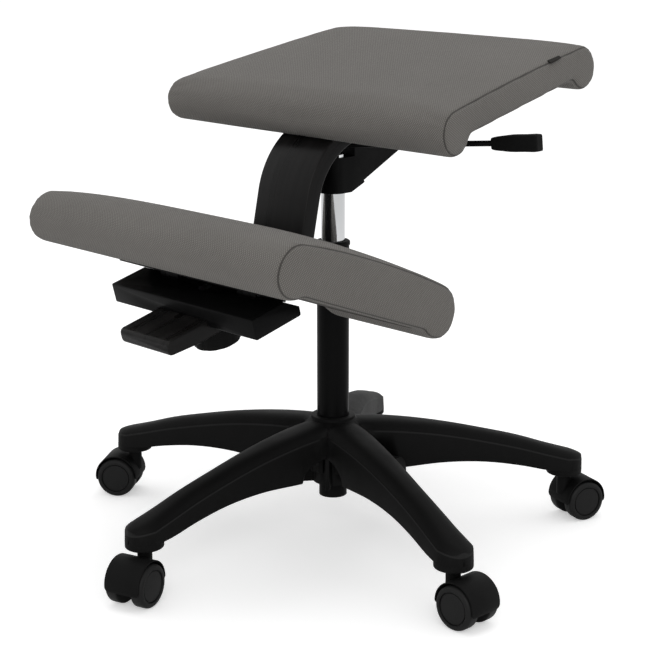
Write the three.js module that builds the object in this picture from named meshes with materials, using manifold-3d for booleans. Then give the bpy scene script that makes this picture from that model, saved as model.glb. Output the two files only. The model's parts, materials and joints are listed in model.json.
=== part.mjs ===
// Kneeling chair on a five-legged castor base.
// Millimetres, +Z up. The sitter faces -Y, so the knee pad is on the -Y side and +X is the sitter's left.
// Everything is drawn about the column axis, x = y = 0, with the floor at z = 0. The last lines move
// the whole chair so that the middle of its footprint is the origin.

import * as THREE from 'three';
import { mergeVertices } from 'three/addons/utils/BufferGeometryUtils.js';
import Module from 'manifold-3d';

const wasm = await Module();
wasm.setup();

// Gaps between pieces, and how far a cutting tool reaches past what it cuts
const SEATED_GAP = 0.3;
const RUNNING_GAP = 0.35;
const SIDE_GAP = 0.5;
const SOFT_GAP = 1;
const OVERRUN = 4;

// The places that the upper part of the chair follows: the seat's underside on the column axis, a point
// on the arm's drop in the side view, and the rail's origin. The rest is measured from these.
const SEAT_UNDERSIDE_HEIGHT = 517.2;
const RAIL_DROP = 191.1;
const ARM_DROP_RISE = 60.9;
const ARM_DROP_Y = -80;
const RAIL_REACH = 114;
const RAIL_ORIGIN_Y = ARM_DROP_Y - RAIL_REACH;
const RAIL_ORIGIN_HEIGHT = SEAT_UNDERSIDE_HEIGHT - RAIL_DROP;

// Star base
const LEG_COUNT = 5;
const FIRST_LEG_ANGLE = -90;
const CASTOR_CIRCLE_RADIUS = 293;
const LEG_TIP_HALF_WIDTH = 22;
const LEG_WAIST_HALF_WIDTH = 20;
const LEG_ROOT_HALF_WIDTH = 27;
const LEG_TIP_CREASE_HEIGHT = 84;
const LEG_ROOT_CREASE_HEIGHT = 136;
const LEG_CROWN = 10.5;
const LEG_TIP_DROP = 5;
const LEG_ARCH_HEIGHT = 88.5;
const LEG_ROOT_UNDERSIDE = 82;
const LEG_TIP_UNDERSIDE = 68;
const LEG_WALL = 4;
const LEG_DRAFT = 1.6;
const LEG_RIB_THICKNESS = 2.6;
const LEG_RIB_RISE = 4;
const BOSS_BOTTOM = 60.7;
const BOSS_EDGE = 2;
const HUB_BOTTOM = 66;
const HUB_TUBE_RADIUS = 24.5;
const HUB_SKIRT_RADIUS = 44;
const HUB_SKIRT_HEIGHT = 131;
const HUB_SHOULDER_RADIUS = 34;
const HUB_SHOULDER_HEIGHT = 142.5;
const HUB_RING_RADIUS = 26.8;
const HUB_RING_HEIGHT = 3.4;
const HUB_RING_EDGE = 1.1;
const HUB_TOP = 150.5;
const CROTCH_RIB_REACH = 41;
const CROTCH_RIB_HALF_WIDTH = 2.7;
const CROTCH_ARCH_RADIUS = 24;
const CROTCH_ARCH_TOP = 108;

// Column: outer tube, guide bush, piston rod, thrust bearing and clip
const TUBE_RADIUS = 19.3;
const TUBE_WALL = 2.4;
const TUBE_TOP_DROP = 156.7;
const TUBE_TOP = SEAT_UNDERSIDE_HEIGHT - TUBE_TOP_DROP;
const TUBE_FOOT_RADIUS = 17;
const TUBE_FOOT_BOTTOM = 48;
const TUBE_TAPER_BOTTOM = 64;
const TUBE_FLOOR_HEIGHT = 53;
const TUBE_FLOOR_THICKNESS = 4;
const BUSH_LENGTH = 62;
const BUSH_COLLAR_RADIUS = 20.4;
const BUSH_COLLAR_HEIGHT = 5.5;
const BUSH_CHAMFER = 2;
const BEARING_RADIUS = 13;
const BEARING_RACE = 1.6;
const BEARING_CAGE_INSET = 1.2;
const BEARING_HEIGHT = 6;
const ROD_RADIUS = 5;
const ROD_SHOULDER_RADIUS = 8;
const ROD_SHOULDER_HEIGHT = 6;
const ROD_TIP_RADIUS = 4;
const ROD_TIP_BOTTOM = 49;
const PISTON_RADIUS = 10.6;
const PISTON_LENGTH = 14;
const PISTON_DEPTH = 28.5;
const PISTON_TOP = TUBE_TOP - PISTON_DEPTH;
const CLIP_RADIUS = 8;
const CLIP_THICKNESS = 1.8;
const CYLINDER_RADIUS = 14;
const CYLINDER_WALL = 3;
const CYLINDER_SUNK_LENGTH = 188.5;
const CYLINDER_TOP_DROP = 47.2;
const CYLINDER_BOTTOM = TUBE_TOP - CYLINDER_SUNK_LENGTH;
const CYLINDER_TOP = SEAT_UNDERSIDE_HEIGHT - CYLINDER_TOP_DROP;
const CYLINDER_CAP = 24;
const CYLINDER_EDGE = 1.5;
const VALVE_RADIUS = 4;
const VALVE_TIP_HEIGHT = 4.7;
const VALVE_DEPTH = 14;

// Castors
const WHEEL_RADIUS = 25;
const WHEEL_WIDTH = 15.2;
const WHEEL_EDGE = 4;
const WHEEL_DISC_RADIUS = 18.5;
const WHEEL_DISC_STEP = 1.1;
const WHEEL_WEB = 2.2;
const CASTOR_TRAIL = 20.6;
const CASTOR_YAW = 18;
const HOOD_WALL = 1.5;
const HOOD_CLEARANCE = 0.9;
const HOOD_LIFT = 1.8;
const HOOD_HALF_WIDTH = 22.5;
const HOOD_WEB_HALF_WIDTH = 9;
const HOOD_BOSS_RADIUS = 8;
const HOOD_START_ANGLE = -14;
const HOOD_END_ANGLE = 188;
const NECK_RADIUS = 8.4;
const NECK_BOTTOM = 33;
const AXLE_RADIUS = 3;
const STEM_RADIUS = 5;
const STEM_BOTTOM = 44;
const STEM_TOP = 79;
const STEM_HEAD_RADIUS = 6.5;
const STEM_HEAD_HEIGHT = 5;
const STEM_POINT = 1;

// Cushions
const PAD_EDGE_RADIUS = 5;
const PAD_SEAM_DEPTH = 0.9;
const PAD_SEAM_WIDTH = 2;
const PAD_SIDE_DRAW = 1.5;
const BOARD_INSET = 13;
const COVER_THICKNESS = 1.2;
const FLAP_CORNER = 12;

// Seat: the frame's origin is on the column axis, in the plane of the seat's underside
const SEAT_SLOPE = 11.5;
const SEAT_FRONT_ROLL = -38.2;
const SEAT_REAR_ROLL = 212.4;
const SEAT_ROLL_RADIUS = 25.4;
const SEAT_ROLL_HEIGHT = 8.4;
const SEAT_CROWN = 6;
const SEAT_ARCH = 3;
const SEAT_FRONT_HALF_WIDTH = 231.5;
const SEAT_REAR_HALF_WIDTH = 203;
const SEAT_BOARD_THICKNESS = 12;

// Seat plate and its fastenings
const SEAT_PLATE_THICKNESS = 6;
const SEAT_PLATE_HALF_WIDTH = 92;
const SEAT_PLATE_FRONT = 6;
const SEAT_PLATE_REAR = 170;
const SEAT_PLATE_CORNER = 18;
const SCREW_RADIUS = 2.6;
const SCREW_LENGTH = 15;
const SCREW_HEAD_RADIUS = 5.2;
const SCREW_HEAD_HEIGHT = 2.8;
const SEAT_SCREW_INSET = 16;
const ARM_BOLT_RADIUS = 4;
const ARM_BOLT_HEAD_RADIUS = 8;
const ARM_BOLT_HEAD_HEIGHT = 3.6;
const ARM_BOLT_LENGTH = 41;
const ARM_BOLT_FRONT = 42;
const ARM_BOLT_REAR = 102;

// Arm: one bentwood strip
const ARM_WIDTH = 84;
const ARM_THICKNESS = 21;
const ARM_EDGE = 2.2;
const ARM_REAR = 150;
const ARM_DROP_SLOPE = 78;
const ARM_DROP_HEIGHT = RAIL_ORIGIN_HEIGHT + ARM_DROP_RISE;
const ARM_UPPER_RADIUS = 90;
const ARM_LOWER_RADIUS = 68;
const ARM_TOE_REACH = 90.5;
const ARM_TOE_Y = RAIL_ORIGIN_Y - ARM_TOE_REACH;
const ARM_TOE_THICKNESS = 17.5;
const ARM_TOE_LENGTH = 44;
const ARM_TOE_NOSE = 5;

// Rail: the straight lower leg of the arm. Its frame starts at the clamp bolt's axis on the leg's top face
const RAIL_SLOPE = 14.5;
const RAIL_SLOT_FRONT = -45;
const RAIL_SLOT_REAR = 35;
const RAIL_SLOT_HALF_WIDTH = 4.6;

// Carriage under the knee pad
const CARRIAGE_HALF_WIDTH = 120.5;
const CARRIAGE_FRONT = -39.5;
const CARRIAGE_REAR = 27.3;
const CARRIAGE_TOP = 16;
const CARRIAGE_DEPTH = 8;
const CARRIAGE_LIP = 2.7;
const CARRIAGE_RIDGE = 7.7;
const CARRIAGE_EDGE = 2.5;
const CARRIAGE_END_EDGE = 2;
const CARRIAGE_CHANNEL_GAP = 0.8;
const CLAMP_BOLT_RADIUS = 4;
const CLAMP_BOLT_HEAD_RADIUS = 8;
const CLAMP_BOLT_HEAD_HEIGHT = 5;
const CLAMP_BOLT_GRIP = 15;
const KNOB_RADIUS = 27.2;
const KNOB_HEIGHT = 30;
const KNOB_EDGE = 2.5;
const KNOB_FLUTES = 10;
const KNOB_FLUTE_RADIUS = 8;
const KNOB_FLUTE_DEPTH = 1.2;

// Knee pad: the frame's origin is the tilt axis, and its slope falls towards the column
const KNEE_SLOPE = -20.3;
const TILT_AXIS_OFFSET = 4;
const TILT_AXIS_RISE = 18.4;
const TILT_AXIS_Y = RAIL_ORIGIN_Y + TILT_AXIS_OFFSET;
const TILT_AXIS_HEIGHT = RAIL_ORIGIN_HEIGHT + TILT_AXIS_RISE;
const TILT_PIN_RADIUS = 3;
const TILT_LUG_RADIUS = 5.8;
const TILT_KNUCKLE_RADIUS = 6;
const TILT_RELIEF = 0.9;
const TILT_STATION = 66;
const TILT_LUG_HALF_WIDTH = 6;
const TILT_KNUCKLE_WIDTH = 9;
const TILT_BRACKET_BOTTOM = -0.5;
const TILT_BRACKET_TOP = 6.2;
const TILT_BRACKET_FRONT = -52;
const TILT_BRACKET_REAR = 21;
const TILT_BRACKET_HALF_WIDTH = 108;
const TILT_BRACKET_CORNER = 12;
const KNEE_SCREW_X = 92;
const KNEE_SCREW_V = -24;
const KNEE_SCREW_SHANK = 10.5;
const KNEE_FRONT_ROLL = -82;
const KNEE_REAR_ROLL = 144;
const KNEE_ROLL_RADIUS = 27.7;
const KNEE_ROLL_HEIGHT = 27.3;
const KNEE_UNDERSIDE = 6.5;
const KNEE_CROWN = 7;
const KNEE_ARCH = 11;
const KNEE_HALF_WIDTH = 215;
const KNEE_BOARD_THICKNESS = 9;
const KNEE_NOTCH_SETBACK = 84;
const KNEE_NOTCH_FRONT = RAIL_REACH - KNEE_NOTCH_SETBACK;
const KNEE_NOTCH_HALF_WIDTH = 50;
const KNEE_NOTCH_CORNER = 26;
const KNEE_NOTCH_MOUTH = 36;

// Column bracket under the arm
const BRACKET_HALF_WIDTH = 18;
const BRACKET_DEPTH = 93.2;
const BRACKET_BOTTOM = SEAT_UNDERSIDE_HEIGHT - BRACKET_DEPTH;
const BRACKET_FLAT_REAR = 13;
const BRACKET_STEP_REAR = 35;
const BRACKET_STEP_LIFT = 9.5;
const BRACKET_STEP_HEIGHT = BRACKET_BOTTOM + BRACKET_STEP_LIFT;
const BRACKET_STEP_DEPTH = 1.5;
const BRACKET_STEP_RISE = 2.5;
const BRACKET_BELLY_SLOPE = 26.5;
const BRACKET_REAR = 128;
const BRACKET_NOSE_DROP = 3.4;
const BRACKET_SHOULDER = 6;
const WINDOW_FRONT = -6.5;
const WINDOW_REAR = 18;
const WINDOW_BOTTOM_DROP = 51.2;
const WINDOW_TOP_DROP = 32.8;
const WINDOW_BOTTOM = SEAT_UNDERSIDE_HEIGHT - WINDOW_BOTTOM_DROP;
const WINDOW_TOP = SEAT_UNDERSIDE_HEIGHT - WINDOW_TOP_DROP;

// Height lever
const LEVER_ROD_RADIUS = 3.25;
const LEVER_PIVOT_X = 15;
const LEVER_PIVOT_Y = 4.7;
const LEVER_PIVOT_DROP = 37;
const LEVER_PIVOT_HEIGHT = SEAT_UNDERSIDE_HEIGHT - LEVER_PIVOT_DROP;
const LEVER_RISE = 5.9;
const LEVER_SWEEP = 5.2;
const LEVER_NOSE = 18.2;
const LEVER_EYE_RADIUS = 4.2;
const LEVER_EYE_WIDTH = 10;
const LEVER_PIN_RADIUS = 1.8;
const LEVER_PIN_GRIP = 3.4;
const HANDLE_ROOT = 211;
const HANDLE_TENON = 22;
const HANDLE_LENGTH = 60;
const HANDLE_THICKNESS = 11;
const HANDLE_HEIGHT = 18.4;
const HANDLE_EDGE = 1.6;

// Facets round a full turn
const FINE = 20;
const ROUND = 16;
const SMALL = 12;
const TINY = 8;

const radians = THREE.MathUtils.degToRad;
const lerp = THREE.MathUtils.lerp;
const clamp = THREE.MathUtils.clamp;

// The radius of a hole with flat facets that leaves a gap all round a shaft
function roomFor(radius, gap, sides) {
  return (radius + gap) / Math.cos(Math.PI / sides);
}

// Solids: closed geometries are joined and cut, and a closed geometry comes out

function solid(geometry) {
  const bare = geometry.clone();
  bare.deleteAttribute('normal');
  bare.deleteAttribute('uv');
  const merged = mergeVertices(bare, 1e-4);
  return new wasm.Manifold(new wasm.Mesh({
    numProp: 3,
    vertProperties: new Float32Array(merged.attributes.position.array),
    triVerts: new Uint32Array(merged.index.array),
  }));
}

function geometryOf(body) {
  const mesh = body.getMesh();
  const geometry = new THREE.BufferGeometry();
  geometry.setAttribute('position', new THREE.Float32BufferAttribute(mesh.vertProperties, 3));
  geometry.setIndex(new THREE.Uint32BufferAttribute(mesh.triVerts, 1));
  geometry.computeVertexNormals();
  return geometry;
}

function join(...geometries) {
  return geometryOf(geometries.map(solid).reduce((whole, part) => whole.add(part)));
}

function cut(geometry, ...tools) {
  return geometryOf(tools.map(solid).reduce((whole, tool) => whole.subtract(tool), solid(geometry)));
}

function common(first, second) {
  return geometryOf(solid(first).intersect(solid(second)));
}

// Turns every face round if they look inwards
function facingOut(geometry) {
  const position = geometry.attributes.position;
  const index = geometry.index.array;
  const [a, b, c] = [new THREE.Vector3(), new THREE.Vector3(), new THREE.Vector3()];
  let volume = 0;
  for (let i = 0; i < index.length; i += 3) {
    a.fromBufferAttribute(position, index[i]);
    b.fromBufferAttribute(position, index[i + 1]);
    c.fromBufferAttribute(position, index[i + 2]);
    volume += a.dot(b.cross(c));
  }
  if (volume < 0) {
    for (let i = 0; i < index.length; i += 3) {
      [index[i], index[i + 1]] = [index[i + 1], index[i]];
    }
  }
  return geometry;
}

// Plain shapes

function block(x, y, z) {
  return new THREE.BoxGeometry(x[1] - x[0], y[1] - y[0], z[1] - z[0]).translate(
    (x[0] + x[1]) / 2,
    (y[0] + y[1]) / 2,
    (z[0] + z[1]) / 2,
  );
}

function upright(radius, bottom, top, sides = ROUND) {
  const shape = new THREE.CylinderGeometry(radius, radius, top - bottom, sides);
  return shape.rotateX(Math.PI / 2).translate(0, 0, (bottom + top) / 2);
}

function alongX(radius, from, to, sides = ROUND) {
  const shape = new THREE.CylinderGeometry(radius, radius, to - from, sides);
  return shape.rotateZ(-Math.PI / 2).translate((from + to) / 2, 0, 0);
}

function alongY(radius, from, to, sides = ROUND) {
  const shape = new THREE.CylinderGeometry(radius, radius, to - from, sides);
  return shape.translate(0, (from + to) / 2, 0);
}

// A profile of [radius, height] pairs turned about +Z
function turned(profile, sides = ROUND) {
  const points = profile.map(([radius, height]) => new THREE.Vector2(radius, height));
  return facingOut(new THREE.LatheGeometry(points, sides).rotateX(Math.PI / 2));
}

function extruded(shape, length, segments) {
  return new THREE.ExtrudeGeometry(shape, {
    depth: length,
    bevelEnabled: false,
    curveSegments: segments,
  });
}

// A plan drawn in (x, y), raised from one height to another
function raised(shape, from, to, segments = 5) {
  return extruded(shape, to - from, segments).translate(0, 0, from);
}

// A side view drawn in (y, z), carried across x
function carried(shape, from, to, segments = 5) {
  return extruded(shape, to - from, segments)
    .rotateX(Math.PI / 2)
    .rotateZ(Math.PI / 2)
    .translate(from, 0, 0);
}

// A closed outline through corners [u, v, radius]
function outline(corners) {
  const shape = new THREE.Shape();
  const count = corners.length;
  corners.forEach(([u, v, radius = 0], index) => {
    const corner = new THREE.Vector2(u, v);
    const [beforeU, beforeV] = corners[(index + count - 1) % count];
    const [afterU, afterV] = corners[(index + 1) % count];
    const before = new THREE.Vector2(beforeU, beforeV).sub(corner);
    const after = new THREE.Vector2(afterU, afterV).sub(corner);
    const reach = radius / Math.tan(before.angleTo(after) / 2);
    const start = corner.clone().add(before.setLength(reach));
    const end = corner.clone().add(after.setLength(reach));
    if (index === 0) shape.moveTo(start.x, start.y);
    else shape.lineTo(start.x, start.y);
    if (radius > 0) shape.quadraticCurveTo(corner.x, corner.y, end.x, end.y);
  });
  shape.closePath();
  return shape;
}

// A body through rings of points that all have the same count, with a flat face at each end
function loft(rings) {
  const count = rings[0].length;
  const index = [];
  for (let ring = 0; ring < rings.length - 1; ring += 1) {
    for (let point = 0; point < count; point += 1) {
      const a = ring * count + point;
      const b = ring * count + ((point + 1) % count);
      index.push(a, b, b + count, a, b + count, a + count);
    }
  }
  const last = (rings.length - 1) * count;
  for (const [a, b, c] of ringTriangles(rings[0])) index.push(a, c, b);
  for (const [a, b, c] of ringTriangles(rings[rings.length - 1])) index.push(last + a, last + b, last + c);
  const geometry = new THREE.BufferGeometry();
  const positions = rings.flat().flatMap((point) => point.toArray());
  geometry.setAttribute('position', new THREE.Float32BufferAttribute(positions, 3));
  geometry.setIndex(index);
  return facingOut(geometry);
}

// Triangles that fill one ring and run the same way round as the ring
function ringTriangles(ring) {
  const normal = new THREE.Vector3();
  ring.forEach((point, index) => normal.add(point.clone().cross(ring[(index + 1) % ring.length])));
  const size = normal.clone().set(Math.abs(normal.x), Math.abs(normal.y), Math.abs(normal.z));
  const flatten = (point) => {
    if (size.x >= size.y && size.x >= size.z) return new THREE.Vector2(point.y, point.z);
    if (size.y >= size.z) return new THREE.Vector2(point.z, point.x);
    return new THREE.Vector2(point.x, point.y);
  };
  const plane = ring.map(flatten);
  const way = Math.sign(THREE.ShapeUtils.area(plane));
  return THREE.ShapeUtils.triangulateShape(plane, []).map(([a, b, c]) => {
    const side = Math.sign(THREE.ShapeUtils.area([plane[a], plane[b], plane[c]]));
    return side === way ? [a, b, c] : [a, c, b];
  });
}

// Finishes

function finish(name, color, roughness, metalness = 0) {
  return () => {
    const material = new THREE.MeshStandardMaterial({ color, roughness, metalness });
    material.name = name;
    return material;
  };
}

const nylon = finish('black_nylon', 0x1b1b1b, 0.45);
const paint = finish('black_paint', 0x171717, 0.4, 0.2);
const stainedWood = finish('black_stained_wood', 0x161616, 0.35);
const plywood = finish('plywood', 0xb58e5f, 0.6);
const chrome = finish('chrome', 0xd8dadb, 0.08, 1);
const steel = finish('bright_steel', 0x9a9a9a, 0.35, 1);
const fabric = finish('grey_weave', 0x6f6c68, 0.95);
const backing = finish('grey_underside_cloth', 0x5c5956, 0.95);
const tread = finish('dark_tread', 0x242424, 0.6);

const model = new THREE.Group();

function piece(name, geometry, material, parent = model) {
  const mesh = new THREE.Mesh(geometry, material());
  mesh.name = name;
  parent.add(mesh);
}

// A frame that stands at one side-view place and leans back by a slope
function leaningFrame(y, z, slope) {
  const group = new THREE.Group();
  group.position.set(0, y, z);
  group.rotation.x = radians(slope);
  group.updateMatrix();
  model.add(group);
  return group;
}

const seatFrame = leaningFrame(0, SEAT_UNDERSIDE_HEIGHT, SEAT_SLOPE);
const railFrame = leaningFrame(RAIL_ORIGIN_Y, RAIL_ORIGIN_HEIGHT, RAIL_SLOPE);
const kneeFrame = leaningFrame(TILT_AXIS_Y, TILT_AXIS_HEIGHT, KNEE_SLOPE);

// Star base: five arched legs, hollow below, round a hub that carries the column.
// Along a leg the shares are of the castor circle, and each size runs from its root to its tip value.

const LEG_REACH_SHARES = [0, 0.16, 0.3, 0.46, 0.64, 0.81, 0.92, 1];
const LEG_CREASE_SHARES = [0, 0.025, 0.1, 0.24, 0.46, 0.7, 0.88, 1];
const LEG_ARCH_SHARES = [0, 0.2, 0.6, 1, 0.88, 0.48, 0.12, 0];
const LEG_SPREAD_SHARES = [1, 1, 0.66, 0.28, 0.04, 0.04, 0.16, 0.41];
const LEG_DOME_SHARES = [-0.8, 0, 0.8];
const LEG_CROWN_SHARES = [1, 1, 1, 1, 1, 0.98, 0.86, 0.76];
const LEG_TIP_TURN_SHARES = [0.33, 0.66, 0.9];

function legRing(reach, halfWidth, creaseHeight, underside, crown) {
  const innerHalf = Math.max(halfWidth - LEG_WALL, halfWidth / 2);
  const dome = LEG_DOME_SHARES.map((share) => [
    share * (halfWidth - LEG_DRAFT),
    creaseHeight + crown * (1 - share ** 4),
  ]);
  const ring = [
    [-halfWidth, underside],
    [-halfWidth + LEG_DRAFT / 2, creaseHeight],
    ...dome,
    [halfWidth - LEG_DRAFT / 2, creaseHeight],
    [halfWidth, underside],
    [innerHalf, underside],
    [innerHalf - LEG_DRAFT / 2, creaseHeight - LEG_WALL],
    [-innerHalf + LEG_DRAFT / 2, creaseHeight - LEG_WALL],
    [-innerHalf, underside],
  ];
  return ring.map(([y, z]) => new THREE.Vector3(reach, y, z));
}

function legSizes(index) {
  const spread = LEG_ROOT_HALF_WIDTH - LEG_WAIST_HALF_WIDTH;
  const underside = index < LEG_ARCH_SHARES.indexOf(1) ? LEG_ROOT_UNDERSIDE : LEG_TIP_UNDERSIDE;
  return {
    reach: LEG_REACH_SHARES[index] * CASTOR_CIRCLE_RADIUS,
    halfWidth: LEG_WAIST_HALF_WIDTH + spread * LEG_SPREAD_SHARES[index],
    crease: lerp(LEG_ROOT_CREASE_HEIGHT, LEG_TIP_CREASE_HEIGHT, LEG_CREASE_SHARES[index]),
    underside: lerp(underside, LEG_ARCH_HEIGHT, LEG_ARCH_SHARES[index]),
    crown: LEG_CROWN * LEG_CROWN_SHARES[index],
  };
}

function legShell() {
  const rings = LEG_REACH_SHARES.map((share, index) => {
    const { reach, halfWidth, crease, underside, crown } = legSizes(index);
    return legRing(reach, halfWidth, crease, underside, crown);
  });
  const tipCrown = LEG_CROWN * LEG_CROWN_SHARES[LEG_CROWN_SHARES.length - 1];
  for (const share of LEG_TIP_TURN_SHARES) {
    const turn = (share * Math.PI) / 2;
    rings.push(legRing(
      CASTOR_CIRCLE_RADIUS + LEG_TIP_HALF_WIDTH * Math.sin(turn),
      LEG_TIP_HALF_WIDTH * Math.cos(turn),
      LEG_TIP_CREASE_HEIGHT - LEG_TIP_DROP * Math.sin(turn) ** 2,
      LEG_TIP_UNDERSIDE,
      tipCrown * Math.cos(turn / 2),
    ));
  }
  return loft(rings);
}

// Inside the hollow of a leg: one rib along it and one across it at each of its middle stations
function legRibs() {
  const half = LEG_RIB_THICKNESS / 2;
  const stations = LEG_REACH_SHARES.map((share, index) => legSizes(index)).slice(1, -1);
  const ceiling = ({ reach, crease }) => new THREE.Vector2(reach, crease - LEG_WALL / 2);
  const edge = ({ reach, underside }) => new THREE.Vector2(reach, underside + LEG_RIB_RISE);
  const shape = new THREE.Shape([...stations.map(edge), ...stations.map(ceiling).reverse()]);
  const along = extruded(shape, LEG_RIB_THICKNESS, 1).rotateX(Math.PI / 2).translate(0, half, 0);
  const across = stations.slice(1, -1).map(({ reach, halfWidth, crease, underside }) => block(
    [reach - half, reach + half],
    [LEG_WALL / 2 - halfWidth, halfWidth - LEG_WALL / 2],
    [underside + LEG_RIB_RISE, crease - LEG_WALL / 2],
  ));
  return [along, ...across];
}

// The column tube is straight above the hub and tapers through it to a smaller foot
function tubeRadiusAt(height) {
  const share = (height - TUBE_TAPER_BOTTOM) / (HUB_TOP - TUBE_TAPER_BOTTOM);
  return lerp(TUBE_FOOT_RADIUS, TUBE_RADIUS, clamp(share, 0, 1));
}

function starBase() {
  const tipBoss = turned([
    [0, BOSS_BOTTOM],
    [LEG_TIP_HALF_WIDTH - BOSS_EDGE, BOSS_BOTTOM],
    [LEG_TIP_HALF_WIDTH, BOSS_BOTTOM + BOSS_EDGE],
    [LEG_TIP_HALF_WIDTH, LEG_TIP_CREASE_HEIGHT - LEG_WALL],
    [0, LEG_TIP_CREASE_HEIGHT - LEG_WALL / 2],
  ], ROUND).translate(CASTOR_CIRCLE_RADIUS, 0, 0);
  const leg = join(legShell(), tipBoss, ...legRibs());
  const hub = turned([
    [0, HUB_BOTTOM],
    [HUB_TUBE_RADIUS, HUB_BOTTOM],
    [HUB_TUBE_RADIUS, HUB_SKIRT_HEIGHT - 2 * LEG_WALL],
    [HUB_SKIRT_RADIUS - LEG_WALL, HUB_SKIRT_HEIGHT - LEG_WALL],
    [HUB_SKIRT_RADIUS, HUB_SKIRT_HEIGHT],
    [HUB_SHOULDER_RADIUS, HUB_SHOULDER_HEIGHT],
    [HUB_RING_RADIUS, HUB_TOP - HUB_RING_HEIGHT],
    [HUB_RING_RADIUS, HUB_TOP - HUB_RING_EDGE],
    [HUB_RING_RADIUS - HUB_RING_EDGE, HUB_TOP],
    [0, HUB_TOP],
  ], FINE);
  const parts = [hub];
  const ribs = [];
  const arches = [];
  const tools = [turned([
    [0, HUB_BOTTOM - OVERRUN],
    [tubeRadiusAt(HUB_BOTTOM) + SEATED_GAP, HUB_BOTTOM - OVERRUN],
    [tubeRadiusAt(HUB_BOTTOM) + SEATED_GAP, HUB_BOTTOM],
    [tubeRadiusAt(HUB_TOP) + SEATED_GAP, HUB_TOP],
    [tubeRadiusAt(HUB_TOP) + SEATED_GAP, HUB_TOP + OVERRUN],
    [0, HUB_TOP + OVERRUN],
  ], FINE)];
  const archCentre = CROTCH_ARCH_TOP - CROTCH_ARCH_RADIUS;
  for (let index = 0; index < LEG_COUNT; index += 1) {
    const turn = radians(FIRST_LEG_ANGLE + (index * 360) / LEG_COUNT);
    parts.push(leg.clone().rotateZ(turn));
    const socketRadius = roomFor(STEM_RADIUS, SEATED_GAP, SMALL);
    const socket = upright(socketRadius, BOSS_BOTTOM - OVERRUN, STEM_TOP + SEATED_GAP, SMALL);
    tools.push(socket.translate(CASTOR_CIRCLE_RADIUS, 0, 0).rotateZ(turn));
    const arch = alongX(CROTCH_ARCH_RADIUS, HUB_TUBE_RADIUS + LEG_WALL, 2 * HUB_SKIRT_RADIUS);
    arches.push(arch.translate(0, 0, archCentre).rotateZ(turn + Math.PI / LEG_COUNT));
    const rib = block(
      [0, CROTCH_RIB_REACH],
      [-CROTCH_RIB_HALF_WIDTH, CROTCH_RIB_HALF_WIDTH],
      [HUB_BOTTOM, HUB_SKIRT_HEIGHT - LEG_WALL],
    );
    ribs.push(rib.rotateZ(turn + Math.PI / LEG_COUNT));
  }
  return cut(join(cut(join(...parts), ...arches), ...ribs), ...tools);
}

// Column

const BEARING_BOTTOM = TUBE_FLOOR_HEIGHT + TUBE_FLOOR_THICKNESS + SEATED_GAP;

function columnTube() {
  const bore = TUBE_RADIUS - TUBE_WALL;
  const footBore = TUBE_FOOT_RADIUS - TUBE_WALL;
  const floorTop = TUBE_FLOOR_HEIGHT + TUBE_FLOOR_THICKNESS;
  const hole = roomFor(ROD_RADIUS, RUNNING_GAP, FINE);
  return turned([
    [TUBE_FOOT_RADIUS, TUBE_FOOT_BOTTOM],
    [TUBE_FOOT_RADIUS, TUBE_TAPER_BOTTOM],
    [TUBE_RADIUS, HUB_TOP],
    [TUBE_RADIUS, TUBE_TOP],
    [bore, TUBE_TOP],
    [bore, HUB_TOP],
    [footBore, TUBE_TAPER_BOTTOM],
    [footBore, floorTop],
    [hole, floorTop],
    [hole, TUBE_FLOOR_HEIGHT],
    [footBore, TUBE_FLOOR_HEIGHT],
    [footBore, TUBE_FOOT_BOTTOM],
    [TUBE_FOOT_RADIUS, TUBE_FOOT_BOTTOM],
  ], FINE);
}

function guideBush() {
  const outer = TUBE_RADIUS - TUBE_WALL - SEATED_GAP;
  const bore = roomFor(CYLINDER_RADIUS, RUNNING_GAP, FINE);
  const seat = TUBE_TOP + SEATED_GAP;
  return turned([
    [bore, TUBE_TOP - BUSH_LENGTH],
    [outer, TUBE_TOP - BUSH_LENGTH],
    [outer, seat],
    [BUSH_COLLAR_RADIUS, seat],
    [BUSH_COLLAR_RADIUS, seat + BUSH_COLLAR_HEIGHT - BUSH_CHAMFER],
    [BUSH_COLLAR_RADIUS - BUSH_CHAMFER, seat + BUSH_COLLAR_HEIGHT],
    [bore, seat + BUSH_COLLAR_HEIGHT],
    [bore, TUBE_TOP - BUSH_LENGTH],
  ], FINE);
}

function thrustBearing() {
  const hole = roomFor(ROD_RADIUS, RUNNING_GAP, SMALL);
  const cage = BEARING_RADIUS - BEARING_CAGE_INSET;
  const top = BEARING_BOTTOM + BEARING_HEIGHT;
  return turned([
    [hole, BEARING_BOTTOM],
    [BEARING_RADIUS, BEARING_BOTTOM],
    [BEARING_RADIUS, BEARING_BOTTOM + BEARING_RACE],
    [cage, BEARING_BOTTOM + BEARING_RACE],
    [cage, top - BEARING_RACE],
    [BEARING_RADIUS, top - BEARING_RACE],
    [BEARING_RADIUS, top],
    [hole, top],
    [hole, BEARING_BOTTOM],
  ], SMALL);
}

function pistonRod() {
  const shoulder = BEARING_BOTTOM + BEARING_HEIGHT + SEATED_GAP;
  const clipTop = TUBE_FLOOR_HEIGHT - SEATED_GAP;
  return turned([
    [0, ROD_TIP_BOTTOM],
    [ROD_TIP_RADIUS, ROD_TIP_BOTTOM],
    [ROD_TIP_RADIUS, clipTop],
    [ROD_RADIUS, clipTop],
    [ROD_RADIUS, shoulder],
    [ROD_SHOULDER_RADIUS, shoulder],
    [ROD_SHOULDER_RADIUS, shoulder + ROD_SHOULDER_HEIGHT],
    [ROD_RADIUS, shoulder + ROD_SHOULDER_HEIGHT],
    [ROD_RADIUS, PISTON_TOP - PISTON_LENGTH],
    [PISTON_RADIUS, PISTON_TOP - PISTON_LENGTH],
    [PISTON_RADIUS, PISTON_TOP],
    [0, PISTON_TOP],
  ], SMALL);
}

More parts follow.
